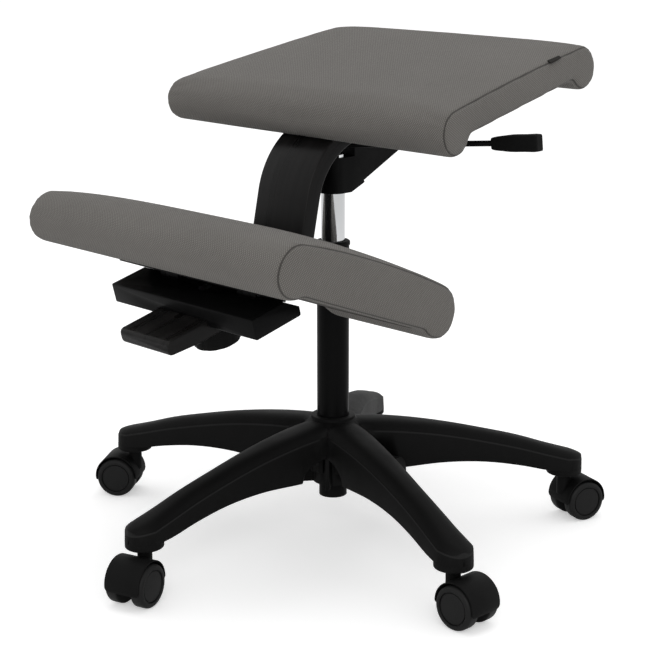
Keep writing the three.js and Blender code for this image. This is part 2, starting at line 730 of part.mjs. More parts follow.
// A spring clip with an open mouth, in the groove of the piston rod
function rodClip() {
  const top = TUBE_FLOOR_HEIGHT - 2 * SEATED_GAP;
  const bottom = top - CLIP_THICKNESS;
  const hole = upright(roomFor(ROD_TIP_RADIUS, SEATED_GAP, SMALL), bottom - OVERRUN, top + OVERRUN, SMALL);
  const mouth = block(
    [0, CLIP_RADIUS + OVERRUN],
    [-ROD_TIP_RADIUS / 2, ROD_TIP_RADIUS / 2],
    [bottom - OVERRUN, top + OVERRUN],
  );
  return cut(upright(CLIP_RADIUS, bottom, top, SMALL), hole, mouth);
}

function gasCylinder() {
  const bore = CYLINDER_RADIUS - CYLINDER_WALL;
  const guide = roomFor(ROD_RADIUS, RUNNING_GAP, FINE);
  const valveBore = roomFor(VALVE_RADIUS, RUNNING_GAP, FINE);
  return turned([
    [guide, CYLINDER_BOTTOM],
    [CYLINDER_RADIUS - CYLINDER_EDGE, CYLINDER_BOTTOM],
    [CYLINDER_RADIUS, CYLINDER_BOTTOM + CYLINDER_EDGE],
    [CYLINDER_RADIUS, CYLINDER_TOP - CYLINDER_EDGE],
    [CYLINDER_RADIUS - CYLINDER_EDGE, CYLINDER_TOP],
    [valveBore, CYLINDER_TOP],
    [valveBore, CYLINDER_TOP - CYLINDER_CAP],
    [bore, CYLINDER_TOP - CYLINDER_CAP],
    [bore, CYLINDER_BOTTOM + CYLINDER_CAP],
    [guide, CYLINDER_BOTTOM + CYLINDER_CAP],
    [guide, CYLINDER_BOTTOM],
  ], FINE);
}

function valvePin() {
  return upright(VALVE_RADIUS, CYLINDER_TOP - VALVE_DEPTH, CYLINDER_TOP + VALVE_TIP_HEIGHT, TINY);
}

function addColumn() {
  piece('star_base', starBase(), nylon);
  piece('column_tube', columnTube(), paint);
  piece('guide_bush', guideBush(), nylon);
  piece('thrust_bearing', thrustBearing(), steel);
  piece('rod_clip', rodClip(), steel);
  piece('piston_rod', pistonRod(), steel);
  piece('gas_cylinder', gasCylinder(), chrome);
  piece('valve_pin', valvePin(), steel);
}

// Castors: in a castor's own frame the swivel axis is +Z and the wheels trail towards +X

const WHEEL_INNER_FACE = HOOD_WEB_HALF_WIDTH + RUNNING_GAP;
const WHEEL_OUTER_FACE = WHEEL_INNER_FACE + WHEEL_WIDTH;
const WHEEL_BORE_END = WHEEL_OUTER_FACE - WHEEL_DISC_STEP - WHEEL_WEB;

// A side view of the castor drawn about the axle, carried across the wheels
function acrossAxle(shape, halfWidth) {
  return extruded(shape, 2 * halfWidth, TINY)
    .rotateX(Math.PI / 2)
    .translate(CASTOR_TRAIL, halfWidth, WHEEL_RADIUS);
}

function castorHood() {
  const start = radians(HOOD_START_ANGLE);
  const end = radians(HOOD_END_ANGLE);
  const inner = WHEEL_RADIUS + HOOD_CLEARANCE;
  const outer = inner + HOOD_WALL;
  const fender = new THREE.Shape();
  fender.absarc(0, 0, outer, start, end, false);
  fender.absarc(0, 0, inner, end, start, true);
  fender.closePath();
  const web = new THREE.Shape();
  web.absarc(0, 0, outer - HOOD_WALL / 2, start, end, false);
  web.closePath();
  const neckTop = BOSS_BOTTOM - SIDE_GAP;
  const boss = alongY(HOOD_BOSS_RADIUS, -HOOD_WEB_HALF_WIDTH, HOOD_WEB_HALF_WIDTH, SMALL);
  const neck = upright(NECK_RADIUS, NECK_BOTTOM, neckTop);
  const shell = join(
    acrossAxle(fender, HOOD_HALF_WIDTH).translate(0, 0, HOOD_LIFT),
    acrossAxle(web, HOOD_WEB_HALF_WIDTH).translate(0, 0, HOOD_LIFT),
    boss.translate(CASTOR_TRAIL, 0, WHEEL_RADIUS),
    neck,
  );
  const headTop = STEM_BOTTOM + STEM_HEAD_HEIGHT + RUNNING_GAP;
  const stemBore = upright(roomFor(STEM_RADIUS, RUNNING_GAP, SMALL), STEM_BOTTOM, neckTop + OVERRUN, SMALL);
  const headRadius = roomFor(STEM_HEAD_RADIUS, RUNNING_GAP, SMALL);
  const headBore = upright(headRadius, STEM_BOTTOM - RUNNING_GAP, headTop, SMALL);
  const axleBore = alongY(roomFor(AXLE_RADIUS, SEATED_GAP, SMALL), -HOOD_HALF_WIDTH, HOOD_HALF_WIDTH, SMALL);
  return cut(
    shell,
    stemBore,
    headBore,
    axleBore.translate(CASTOR_TRAIL, 0, WHEEL_RADIUS),
  );
}

function castorStem() {
  return turned([
    [0, STEM_BOTTOM],
    [STEM_HEAD_RADIUS, STEM_BOTTOM],
    [STEM_HEAD_RADIUS, STEM_BOTTOM + STEM_HEAD_HEIGHT],
    [STEM_RADIUS, STEM_BOTTOM + STEM_HEAD_HEIGHT],
    [STEM_RADIUS, STEM_TOP - STEM_POINT],
    [STEM_RADIUS - STEM_POINT, STEM_TOP],
    [0, STEM_TOP],
  ], TINY);
}

// Rounded tread, a ring step and a flat middle disc on the outside, a blind axle bore on the inside
function castorWheel(side) {
  const bore = roomFor(AXLE_RADIUS, RUNNING_GAP, ROUND);
  const wheel = turned([
    [0, WHEEL_BORE_END],
    [bore, WHEEL_BORE_END],
    [bore, WHEEL_INNER_FACE],
    [WHEEL_RADIUS - WHEEL_EDGE / 2, WHEEL_INNER_FACE],
    [WHEEL_RADIUS, WHEEL_INNER_FACE + WHEEL_EDGE / 2],
    [WHEEL_RADIUS, WHEEL_OUTER_FACE - WHEEL_EDGE],
    [WHEEL_RADIUS - WHEEL_EDGE / 3, WHEEL_OUTER_FACE - WHEEL_EDGE / 3],
    [WHEEL_RADIUS - WHEEL_EDGE, WHEEL_OUTER_FACE],
    [WHEEL_DISC_RADIUS, WHEEL_OUTER_FACE],
    [WHEEL_DISC_RADIUS - WHEEL_DISC_STEP, WHEEL_OUTER_FACE - WHEEL_DISC_STEP],
    [0, WHEEL_OUTER_FACE - WHEEL_DISC_STEP],
  ], ROUND);
  return wheel.rotateX((-side * Math.PI) / 2).translate(CASTOR_TRAIL, 0, WHEEL_RADIUS);
}

function castorAxle() {
  const half = WHEEL_BORE_END - SIDE_GAP;
  return alongY(AXLE_RADIUS, -half, half, TINY).translate(CASTOR_TRAIL, 0, WHEEL_RADIUS);
}

function addCastors() {
  for (let index = 0; index < LEG_COUNT; index += 1) {
    const angle = radians(FIRST_LEG_ANGLE + (index * 360) / LEG_COUNT);
    const castor = new THREE.Group();
    castor.position.set(CASTOR_CIRCLE_RADIUS * Math.cos(angle), CASTOR_CIRCLE_RADIUS * Math.sin(angle), 0);
    castor.rotation.z = angle + radians(CASTOR_YAW);
    model.add(castor);
    const number = index + 1;
    piece(`castor_stem_${number}`, castorStem(), steel, castor);
    piece(`castor_hood_${number}`, castorHood(), nylon, castor);
    piece(`castor_axle_${number}`, castorAxle(), steel, castor);
    piece(`castor_wheel_${number}_a`, castorWheel(1), tread, castor);
    piece(`castor_wheel_${number}_b`, castorWheel(-1), tread, castor);
  }
}

// Cushions: a side view with a round lip at each end, carried across x. The top is crowned, the sides
// are drawn in a little, and a sewn channel runs round each side panel.

const LIP_STEPS = 11;
const TOP_STEPS = 6;
const SEAT_FULLNESS_SHARE = 0.45;
const KNEE_FULLNESS_SHARE = 0.5;
const EDGE_SHARES = [1, 0.5, 0];
const CROSS_SHARES = [0.92, 0.62, 0.3, 0];

// The side view, counter-clockwise from where the rear lip meets the underside
function padProfile(pad) {
  const join = Math.asin((pad.height - pad.underside) / pad.radius);
  const points = [];
  for (let step = 0; step <= LIP_STEPS; step += 1) {
    const angle = lerp(join - Math.PI, Math.PI / 2, step / LIP_STEPS);
    points.push([pad.rear + pad.radius * Math.cos(angle), pad.height + pad.radius * Math.sin(angle)]);
  }
  for (let step = 1; step < TOP_STEPS; step += 1) {
    points.push([lerp(pad.rear, pad.front, step / TOP_STEPS), pad.height + pad.radius]);
  }
  for (let step = 0; step <= LIP_STEPS; step += 1) {
    const angle = lerp(Math.PI / 2, 2 * Math.PI - join, step / LIP_STEPS);
    points.push([pad.front + pad.radius * Math.cos(angle), pad.height + pad.radius * Math.sin(angle)]);
  }
  return points.map(([v, w]) => new THREE.Vector2(v, w));
}

// The direction out of the side view at each of its points
function outwardDirections(points) {
  return points.map((point, index) => {
    const before = points[(index + points.length - 1) % points.length];
    const after = points[(index + 1) % points.length];
    const along = after.clone().sub(before).normalize();
    return new THREE.Vector2(along.y, -along.x);
  });
}

function lengthShare(pad, v) {
  return clamp((v - pad.front + pad.radius) / (pad.rear - pad.front + 2 * pad.radius), 0, 1);
}

function padHalfWidth(pad, v) {
  const share = lengthShare(pad, v);
  return lerp(pad.frontHalf, pad.rearHalf, share) - PAD_SIDE_DRAW * Math.sin(Math.PI * share);
}

function cushionBody(pad) {
  const profile = padProfile(pad);
  const directions = outwardDirections(profile);
  // How far each ring lies inside the side panel's plane, and inside the side view
  const edges = [
    { back: 0, inset: PAD_EDGE_RADIUS + PAD_SEAM_WIDTH },
    { back: PAD_SEAM_DEPTH, inset: PAD_EDGE_RADIUS + PAD_SEAM_WIDTH / 2 },
    ...EDGE_SHARES.map((share) => {
      const turn = (share * Math.PI) / 2;
      return {
        back: PAD_EDGE_RADIUS * (1 - Math.sin(turn)),
        inset: PAD_EDGE_RADIUS * (1 - Math.cos(turn)),
      };
    }),
  ];
  const ring = (side, share, back, inset) => profile.map((point, index) => {
    const half = padHalfWidth(pad, point.x);
    const x = side * (half - back) * share;
    const spread = clamp(x / half, -1, 1);
    const swell = Math.sin(Math.PI * lengthShare(pad, point.x)) ** pad.fullness;
    const rise = point.y > pad.height ? swell * (pad.arch + pad.crown * (1 - spread ** 4)) : 0;
    return new THREE.Vector3(
      x,
      point.x - inset * directions[index].x,
      point.y - inset * directions[index].y + rise,
    );
  });
  const oneSide = (side) => [
    ...edges.map(({ back, inset }) => ring(side, 1, back, inset)),
    ...CROSS_SHARES.map((share) => ring(side, share, PAD_EDGE_RADIUS, 0)),
  ];
  const left = oneSide(-1);
  const right = oneSide(1).slice(0, -1).reverse();
  return loft([...left, ...right]);
}

// The plan of the board and cover that sit in a cushion's underside
function boardPlan(pad, grow) {
  const reach = Math.sqrt(pad.radius ** 2 - (pad.height - pad.underside) ** 2);
  const front = pad.front + reach + SEATED_GAP - grow + PAD_SEAM_WIDTH;
  const rear = pad.rear - reach - SEATED_GAP + grow - PAD_SEAM_WIDTH;
  const halfAt = (v) => padHalfWidth(pad, v) - BOARD_INSET + grow;
  return outline([
    [-halfAt(front), front, FLAP_CORNER],
    [halfAt(front), front, FLAP_CORNER],
    [halfAt(rear), rear, FLAP_CORNER],
    [-halfAt(rear), rear, FLAP_CORNER],
  ]);
}

function boardPocket(pad, thickness) {
  const top = pad.underside + COVER_THICKNESS + thickness + 2 * SEATED_GAP;
  return raised(boardPlan(pad, SEATED_GAP), pad.underside - OVERRUN, top, 2);
}

function bottomCover(pad) {
  return raised(boardPlan(pad, 0), pad.underside, pad.underside + COVER_THICKNESS, 2);
}

function boardIn(pad, thickness) {
  const bottom = pad.underside + COVER_THICKNESS + SEATED_GAP;
  return raised(boardPlan(pad, 0), bottom, bottom + thickness, 2);
}

// A hole along +Z for a fastener, through everything between two heights
function drilled(radius, places, bottom, top, sides = TINY) {
  const room = roomFor(radius, SEATED_GAP, sides);
  return places.map(([x, y]) => upright(room, bottom, top, sides).translate(x, y, 0));
}

// A screw that points up, its head below
function woodScrew(headBottom, shank) {
  const headTop = headBottom + SCREW_HEAD_HEIGHT;
  return turned([
    [0, headBottom],
    [SCREW_HEAD_RADIUS - SCREW_HEAD_HEIGHT / 2, headBottom],
    [SCREW_HEAD_RADIUS, headTop],
    [SCREW_RADIUS, headTop],
    [SCREW_RADIUS, headTop + shank],
    [0, headTop + shank],
  ], TINY);
}

// Seat

const seatPad = {
  front: SEAT_FRONT_ROLL,
  rear: SEAT_REAR_ROLL,
  radius: SEAT_ROLL_RADIUS,
  height: SEAT_ROLL_HEIGHT,
  underside: 0,
  crown: SEAT_CROWN,
  arch: SEAT_ARCH,
  fullness: SEAT_FULLNESS_SHARE,
  frontHalf: SEAT_FRONT_HALF_WIDTH,
  rearHalf: SEAT_REAR_HALF_WIDTH,
};
const SEAT_PLATE_TOP = -SEATED_GAP;
const SEAT_PLATE_BOTTOM = SEAT_PLATE_TOP - SEAT_PLATE_THICKNESS;
const ARM_TOP = SEAT_PLATE_BOTTOM - SEATED_GAP;
const ARM_BOLT_PLACES = [[0, ARM_BOLT_FRONT], [0, ARM_BOLT_REAR]];
const seatScrewX = SEAT_PLATE_HALF_WIDTH - SEAT_SCREW_INSET;
const seatScrewPlaces = [SEAT_PLATE_FRONT + SEAT_SCREW_INSET, SEAT_PLATE_REAR - SEAT_SCREW_INSET]
  .flatMap((y) => [[-seatScrewX, y], [seatScrewX, y]]);

function seatPlate() {
  const plan = outline([
    [-SEAT_PLATE_HALF_WIDTH, SEAT_PLATE_FRONT, SEAT_PLATE_CORNER],
    [SEAT_PLATE_HALF_WIDTH, SEAT_PLATE_FRONT, SEAT_PLATE_CORNER],
    [SEAT_PLATE_HALF_WIDTH, SEAT_PLATE_REAR, SEAT_PLATE_CORNER],
    [-SEAT_PLATE_HALF_WIDTH, SEAT_PLATE_REAR, SEAT_PLATE_CORNER],
  ]);
  const bottom = SEAT_PLATE_BOTTOM - OVERRUN;
  return cut(
    raised(plan, SEAT_PLATE_BOTTOM, SEAT_PLATE_TOP),
    ...drilled(SCREW_RADIUS, seatScrewPlaces, bottom, OVERRUN),
    ...drilled(ARM_BOLT_RADIUS, ARM_BOLT_PLACES, bottom, OVERRUN, SMALL),
    ...drilled(
      ARM_BOLT_HEAD_RADIUS,
      ARM_BOLT_PLACES,
      SEAT_PLATE_TOP - ARM_BOLT_HEAD_HEIGHT - 2 * SEATED_GAP,
      OVERRUN,
      SMALL,
    ),
  );
}

// A bolt that points down from the seat plate, through the arm and into the column bracket
function armBolt() {
  const top = SEAT_PLATE_TOP - SEATED_GAP;
  const headBottom = top - ARM_BOLT_HEAD_HEIGHT;
  return turned([
    [0, headBottom - ARM_BOLT_LENGTH],
    [ARM_BOLT_RADIUS, headBottom - ARM_BOLT_LENGTH],
    [ARM_BOLT_RADIUS, headBottom],
    [ARM_BOLT_HEAD_RADIUS, headBottom],
    [ARM_BOLT_HEAD_RADIUS, top],
    [0, top],
  ], SMALL);
}

// The cushion's front lip is pressed up where it lies across the arm
function seatCushion() {
  const armRoom = armStrip(SOFT_GAP).applyMatrix4(seatFrame.matrix.clone().invert());
  return cut(cushionBody(seatPad), boardPocket(seatPad, SEAT_BOARD_THICKNESS), armRoom);
}

function addSeat() {
  const holes = drilled(SCREW_RADIUS, seatScrewPlaces, -OVERRUN, SCREW_LENGTH);
  piece('seat_cushion', seatCushion(), fabric, seatFrame);
  piece('seat_board', cut(boardIn(seatPad, SEAT_BOARD_THICKNESS), ...holes), plywood, seatFrame);
  piece('seat_bottom_cover', cut(bottomCover(seatPad), ...holes), backing, seatFrame);
  piece('seat_plate', seatPlate(), paint, seatFrame);
  seatScrewPlaces.forEach(([x, y], index) => {
    const headBottom = SEAT_PLATE_BOTTOM - SEATED_GAP - SCREW_HEAD_HEIGHT;
    piece(`seat_screw_${index + 1}`, woodScrew(headBottom, SCREW_LENGTH).translate(x, y, 0), steel, seatFrame);
  });
  ARM_BOLT_PLACES.forEach(([x, y], index) => {
    piece(`arm_bolt_${index + 1}`, armBolt().translate(x, y, 0), steel, seatFrame);
  });
}

// Arm: one strip from under the seat, down behind the knee pad and forward as a rail.
// Its middle line is drawn in the side view (y, z), from the seat to the toe.

const ARM_BEND_STEPS = 8;
const ARM_NOSE_SHARES = [0.5, 0.8, 1];
const ARM_NOSE_ROUND_SHARE = 0.8;

function sideView(frame, v, w) {
  const point = new THREE.Vector3(0, v, w).applyMatrix4(frame.matrix);
  return new THREE.Vector2(point.y, point.z);
}

function heading(slope) {
  return new THREE.Vector2(Math.cos(radians(slope)), Math.sin(radians(slope)));
}

function crossing(pointA, slopeA, pointB, slopeB) {
  const reach = pointB.clone().sub(pointA).cross(heading(slopeB)) / heading(slopeA).cross(heading(slopeB));
  return pointA.clone().addScaledVector(heading(slopeA), reach);
}

// An arc of the given radius that rounds the corner between two neighbours
function roundedCorner(corner, before, after, radius) {
  const back = before.clone().sub(corner).normalize();
  const on = after.clone().sub(corner).normalize();
  const half = back.angleTo(on) / 2;
  const centre = corner.clone().addScaledVector(back.clone().add(on).normalize(), radius / Math.sin(half));
  const start = corner.clone().addScaledVector(back, radius / Math.tan(half)).sub(centre);
  const turn = Math.PI - 2 * half;
  const way = Math.sign(on.cross(back));
  const samples = [];
  for (let step = 0; step <= ARM_BEND_STEPS; step += 1) {
    const spoke = start.clone().rotateAround(new THREE.Vector2(), (way * turn * step) / ARM_BEND_STEPS);
    const tangent = new THREE.Vector2(-way * spoke.y, way * spoke.x).normalize();
    samples.push({ point: centre.clone().add(spoke), tangent, thickness: ARM_THICKNESS });
  }
  return samples;
}

function armStrip(grow = 0) {
  const middle = -ARM_THICKNESS / 2;
  const seatPoint = sideView(seatFrame, 0, ARM_TOP + middle);
  const railPoint = sideView(railFrame, 0, middle);
  const dropPoint = new THREE.Vector2(ARM_DROP_Y, ARM_DROP_HEIGHT);
  const rear = sideView(seatFrame, ARM_REAR, ARM_TOP + middle);
  const upper = crossing(seatPoint, SEAT_SLOPE, dropPoint, ARM_DROP_SLOPE);
  const lower = crossing(railPoint, RAIL_SLOPE, dropPoint, ARM_DROP_SLOPE);
  const toe = railPoint.clone().addScaledVector(
    heading(RAIL_SLOPE),
    (ARM_TOE_Y - railPoint.x) / Math.cos(radians(RAIL_SLOPE)),
  );
  const seatWay = heading(SEAT_SLOPE).negate();
  const railWay = heading(RAIL_SLOPE).negate();
  const atToe = (back, thickness) => ({
    point: toe.clone().addScaledVector(railWay, -back),
    tangent: railWay,
    thickness,
  });
  const noseStart = ARM_TOE_THICKNESS + ((ARM_THICKNESS - ARM_TOE_THICKNESS) * ARM_TOE_NOSE) / ARM_TOE_LENGTH;
  const samples = [
    { point: rear, tangent: seatWay, thickness: ARM_THICKNESS },
    ...roundedCorner(upper, rear, lower, ARM_UPPER_RADIUS),
    ...roundedCorner(lower, upper, toe, ARM_LOWER_RADIUS),
    atToe(ARM_TOE_LENGTH, ARM_THICKNESS),
    atToe(ARM_TOE_NOSE, noseStart),
  ];
  const rings = samples.map(({ point, tangent, thickness }) => {
    const up = new THREE.Vector2(tangent.y, -tangent.x);
    const top = ARM_THICKNESS / 2 + grow;
    return stripRing(point, up, top - thickness, top, ARM_EDGE, ARM_WIDTH / 2 + grow);
  });
  for (const share of ARM_NOSE_SHARES) {
    const { point, tangent } = atToe(ARM_TOE_NOSE * (1 - share), ARM_TOE_THICKNESS);
    const up = new THREE.Vector2(tangent.y, -tangent.x);
    const shrink = (ARM_TOE_THICKNESS / 2) * (1 - Math.sqrt(1 - ARM_NOSE_ROUND_SHARE * share * share));
    const top = ARM_THICKNESS / 2;
    rings.push(stripRing(point, up, top - ARM_TOE_THICKNESS + shrink, top - shrink, ARM_EDGE, ARM_WIDTH / 2));
  }
  return loft(rings);
}

function stripRing(point, up, bottom, top, edge, half) {
  const place = (x, offset) => new THREE.Vector3(x, point.x + up.x * offset, point.y + up.y * offset);
  return [
    place(-half + edge, top),
    place(half - edge, top),
    place(half, top - edge),
    place(half, bottom + edge),
    place(half - edge, bottom),
    place(-half + edge, bottom),
    place(-half, bottom + edge),
    place(-half, top - edge),
  ];
}

function addArm() {
  const slot = new THREE.Shape();
  const half = RAIL_SLOT_HALF_WIDTH;
  slot.moveTo(half, RAIL_SLOT_REAR);
  slot.absarc(0, RAIL_SLOT_REAR, half, 0, Math.PI, false);
  slot.absarc(0, RAIL_SLOT_FRONT, half, Math.PI, 2 * Math.PI, false);
  slot.closePath();
  const slotTool = raised(slot, -ARM_THICKNESS - OVERRUN, OVERRUN).applyMatrix4(railFrame.matrix);
  const boltHoles = drilled(
    ARM_BOLT_RADIUS,
    ARM_BOLT_PLACES,
    ARM_TOP - ARM_THICKNESS - OVERRUN,
    ARM_TOP + OVERRUN,
    SMALL,
  ).map((tool) => tool.applyMatrix4(seatFrame.matrix));
  piece('arm', cut(armStrip(), slotTool, ...boltHoles), stainedWood);
}

// Column bracket: a housing under the arm, with the gas cylinder's socket in its round nose

function columnBracket() {
  const underArm = ARM_TOP - ARM_THICKNESS - SEATED_GAP;
  const topAt = (y) => SEAT_UNDERSIDE_HEIGHT
    + y * Math.tan(radians(SEAT_SLOPE))
    + underArm / Math.cos(radians(SEAT_SLOPE));
  const stepTop = BRACKET_STEP_HEIGHT + BRACKET_STEP_RISE;
  const bellyStart = BRACKET_STEP_REAR - BRACKET_STEP_DEPTH;
  const bellyEnd = stepTop + (BRACKET_REAR - bellyStart) * Math.tan(radians(BRACKET_BELLY_SLOPE));
  const side = outline([
    [-BRACKET_HALF_WIDTH, BRACKET_BOTTOM],
    [BRACKET_FLAT_REAR, BRACKET_BOTTOM],
    [BRACKET_STEP_REAR, BRACKET_STEP_HEIGHT],
    [bellyStart, stepTop],
    [BRACKET_REAR, bellyEnd],
    [BRACKET_REAR, topAt(BRACKET_REAR)],
    [BRACKET_SHOULDER, topAt(BRACKET_SHOULDER)],
    [-BRACKET_SHOULDER, topAt(-BRACKET_SHOULDER) - SIDE_GAP],
    [-BRACKET_HALF_WIDTH, topAt(-BRACKET_HALF_WIDTH) - BRACKET_NOSE_DROP],
  ]);
  const plan = new THREE.Shape();
  plan.moveTo(BRACKET_HALF_WIDTH, 0);
  plan.lineTo(BRACKET_HALF_WIDTH, BRACKET_REAR + OVERRUN);
  plan.lineTo(-BRACKET_HALF_WIDTH, BRACKET_REAR + OVERRUN);
  plan.lineTo(-BRACKET_HALF_WIDTH, 0);
  plan.absarc(0, 0, BRACKET_HALF_WIDTH, Math.PI, 2 * Math.PI, false);
  const housing = common(
    carried(side, -BRACKET_HALF_WIDTH, BRACKET_HALF_WIDTH),
    raised(plan, BRACKET_BOTTOM - OVERRUN, SEAT_UNDERSIDE_HEIGHT + OVERRUN, SMALL),
  );
  const socketTop = CYLINDER_TOP + SEATED_GAP;
  const reach = BRACKET_HALF_WIDTH + OVERRUN;
  const pinRoom = alongY(
    roomFor(LEVER_PIN_RADIUS, SEATED_GAP, TINY),
    WINDOW_FRONT - LEVER_PIN_GRIP - SEATED_GAP,
    WINDOW_REAR + LEVER_PIN_GRIP + SEATED_GAP,
    TINY,
  );
  const boltTools = drilled(ARM_BOLT_RADIUS, ARM_BOLT_PLACES, SEAT_PLATE_BOTTOM - ARM_BOLT_LENGTH, 0, SMALL)
    .map((tool) => tool.applyMatrix4(seatFrame.matrix));
  return cut(
    housing,
    upright(roomFor(CYLINDER_RADIUS, SEATED_GAP, FINE), BRACKET_BOTTOM - OVERRUN, socketTop, FINE),
    block([-reach, reach], [WINDOW_FRONT, WINDOW_REAR], [WINDOW_BOTTOM, WINDOW_TOP]),
    pinRoom.translate(LEVER_PIVOT_X, 0, LEVER_PIVOT_HEIGHT),
    ...boltTools,
  );
}

// Height lever: its own frame starts at the pivot and +X runs out along the rod

const leverFrame = new THREE.Group();
leverFrame.position.set(LEVER_PIVOT_X, LEVER_PIVOT_Y, LEVER_PIVOT_HEIGHT);
leverFrame.rotation.order = 'ZYX';
leverFrame.rotation.z = radians(LEVER_SWEEP);
leverFrame.rotation.y = -radians(LEVER_RISE);
model.add(leverFrame);

function leverRod() {
  const rod = alongX(LEVER_ROD_RADIUS, -LEVER_NOSE, HANDLE_ROOT + HANDLE_TENON, SMALL);
  const turnBack = -radians(LEVER_SWEEP);
  const eye = alongY(LEVER_EYE_RADIUS, -LEVER_EYE_WIDTH / 2, LEVER_EYE_WIDTH / 2, SMALL).rotateZ(turnBack);
  const bore = alongY(roomFor(LEVER_PIN_RADIUS, RUNNING_GAP, TINY), -LEVER_EYE_WIDTH, LEVER_EYE_WIDTH, TINY);
  return cut(join(rod, eye), bore.rotateZ(turnBack));
}

function leverPin() {
  const pin = alongY(LEVER_PIN_RADIUS, WINDOW_FRONT - LEVER_PIN_GRIP, WINDOW_REAR + LEVER_PIN_GRIP, TINY);
  return pin.translate(LEVER_PIVOT_X, 0, LEVER_PIVOT_HEIGHT);
}

// The grip flares from its root and is square at its end
const HANDLE_STATION_SHARES = [0, 0.03, 0.2, 0.4, 0.97, 1];
const HANDLE_HEIGHT_SHARES = [0.64, 0.76, 0.88, 1, 0.98, 0.86];

function leverHandle() {
  const rings = HANDLE_STATION_SHARES.map((share, index) => {
    const half = (HANDLE_HEIGHT * HANDLE_HEIGHT_SHARES[index]) / 2;
    const atEnd = index === 0 || index === HANDLE_STATION_SHARES.length - 1;
    const wide = HANDLE_THICKNESS / 2 - (atEnd ? HANDLE_EDGE / 2 : 0);
    const x = HANDLE_ROOT + share * HANDLE_LENGTH;
    const corners = [
      [wide - HANDLE_EDGE, half],
      [wide, half - HANDLE_EDGE],
      [wide, HANDLE_EDGE - half],
      [wide - HANDLE_EDGE, -half],
      [HANDLE_EDGE - wide, -half],
      [-wide, HANDLE_EDGE - half],
      [-wide, half - HANDLE_EDGE],
      [HANDLE_EDGE - wide, half],
    ];
    return corners.map(([y, z]) => new THREE.Vector3(x, y, z));
  });
  const socket = alongX(
    roomFor(LEVER_ROD_RADIUS, SEATED_GAP, SMALL),
    HANDLE_ROOT - OVERRUN,
    HANDLE_ROOT + HANDLE_TENON + SEATED_GAP,
    SMALL,
  );
  return cut(loft(rings), socket);
}

function addLever() {
  piece('column_bracket', columnBracket(), paint);
  piece('lever_pin', leverPin(), steel);
  piece('lever_rod', leverRod(), paint, leverFrame);
  piece('lever_handle', leverHandle(), nylon, leverFrame);
}

// Carriage: a block that straddles the rail, clamped by a bolt through the rail's slot

const tiltAxis = sideView(kneeFrame, 0, 0);

// A bar about the tilt axis between two distances from the middle, on one side, in the world frame
function onTiltAxis(radius, side, near, far, sides = SMALL) {
  const bar = alongX(radius, Math.min(side * near, side * far), Math.max(side * near, side * far), sides);
  return bar.translate(0, tiltAxis.x, tiltAxis.y);
}

function toRail(geometry) {
  return geometry.applyMatrix4(railFrame.matrix.clone().invert());
}

function toKnee(geometry) {
  return geometry.applyMatrix4(kneeFrame.matrix.clone().invert());
}

const lugNear = TILT_STATION - TILT_LUG_HALF_WIDTH;
const lugFar = TILT_STATION + TILT_LUG_HALF_WIDTH;
const knuckleInner = lugNear - SIDE_GAP - TILT_KNUCKLE_WIDTH;
const knuckleOuter = lugFar + SIDE_GAP + TILT_KNUCKLE_WIDTH;
const tiltPinBore = roomFor(TILT_PIN_RADIUS, SEATED_GAP, SMALL);

function carriageBlock() {
  const side = outline([
    [CARRIAGE_FRONT, -CARRIAGE_DEPTH, CARRIAGE_EDGE],
    [CARRIAGE_REAR, -CARRIAGE_DEPTH, CARRIAGE_EDGE],
    [CARRIAGE_REAR, CARRIAGE_LIP, CARRIAGE_EDGE / 2],
    [CARRIAGE_RIDGE, CARRIAGE_TOP, 0],
    [CARRIAGE_FRONT, CARRIAGE_TOP, CARRIAGE_EDGE],
  ]);
  const end = CARRIAGE_HALF_WIDTH - CARRIAGE_END_EDGE;
  const shell = carried(side, -CARRIAGE_HALF_WIDTH, CARRIAGE_HALF_WIDTH, 3);
  const channelHalf = ARM_WIDTH / 2 + CARRIAGE_CHANNEL_GAP;
  const channel = block(
    [-channelHalf, channelHalf],
    [CARRIAGE_FRONT - OVERRUN, CARRIAGE_REAR + OVERRUN],
    [-CARRIAGE_DEPTH - OVERRUN, SEATED_GAP],
  );
  const relief = TILT_KNUCKLE_RADIUS + TILT_RELIEF;
  const lugs = [];
  const tools = [channel];
  for (const way of [-1, 1]) {
    lugs.push(toRail(onTiltAxis(TILT_LUG_RADIUS, way, lugNear, lugFar)));
    tools.push(toRail(onTiltAxis(relief, way, knuckleInner - SIDE_GAP, lugNear)));
    tools.push(toRail(onTiltAxis(relief, way, lugFar, knuckleOuter + SIDE_GAP)));
    tools.push(toRail(onTiltAxis(tiltPinBore, way, knuckleInner - SIDE_GAP, knuckleOuter + SIDE_GAP)));
    const corner = block(
      [0, CARRIAGE_END_EDGE],
      [CARRIAGE_FRONT - OVERRUN, CARRIAGE_REAR + OVERRUN],
      [CARRIAGE_TOP - CARRIAGE_END_EDGE / 3, CARRIAGE_TOP + OVERRUN],
    ).translate(way > 0 ? end : -CARRIAGE_HALF_WIDTH, 0, 0);
    tools.push(corner);
  }
  const headBottom = CARRIAGE_TOP - CLAMP_BOLT_HEAD_HEIGHT - 2 * SEATED_GAP;
  tools.push(upright(roomFor(CLAMP_BOLT_RADIUS, SEATED_GAP, SMALL), -OVERRUN, CARRIAGE_TOP, SMALL));
  const headRoom = roomFor(CLAMP_BOLT_HEAD_RADIUS, SEATED_GAP, SMALL);
  tools.push(upright(headRoom, headBottom, CARRIAGE_TOP + OVERRUN, SMALL));
  return cut(join(shell, ...lugs), ...tools);
}

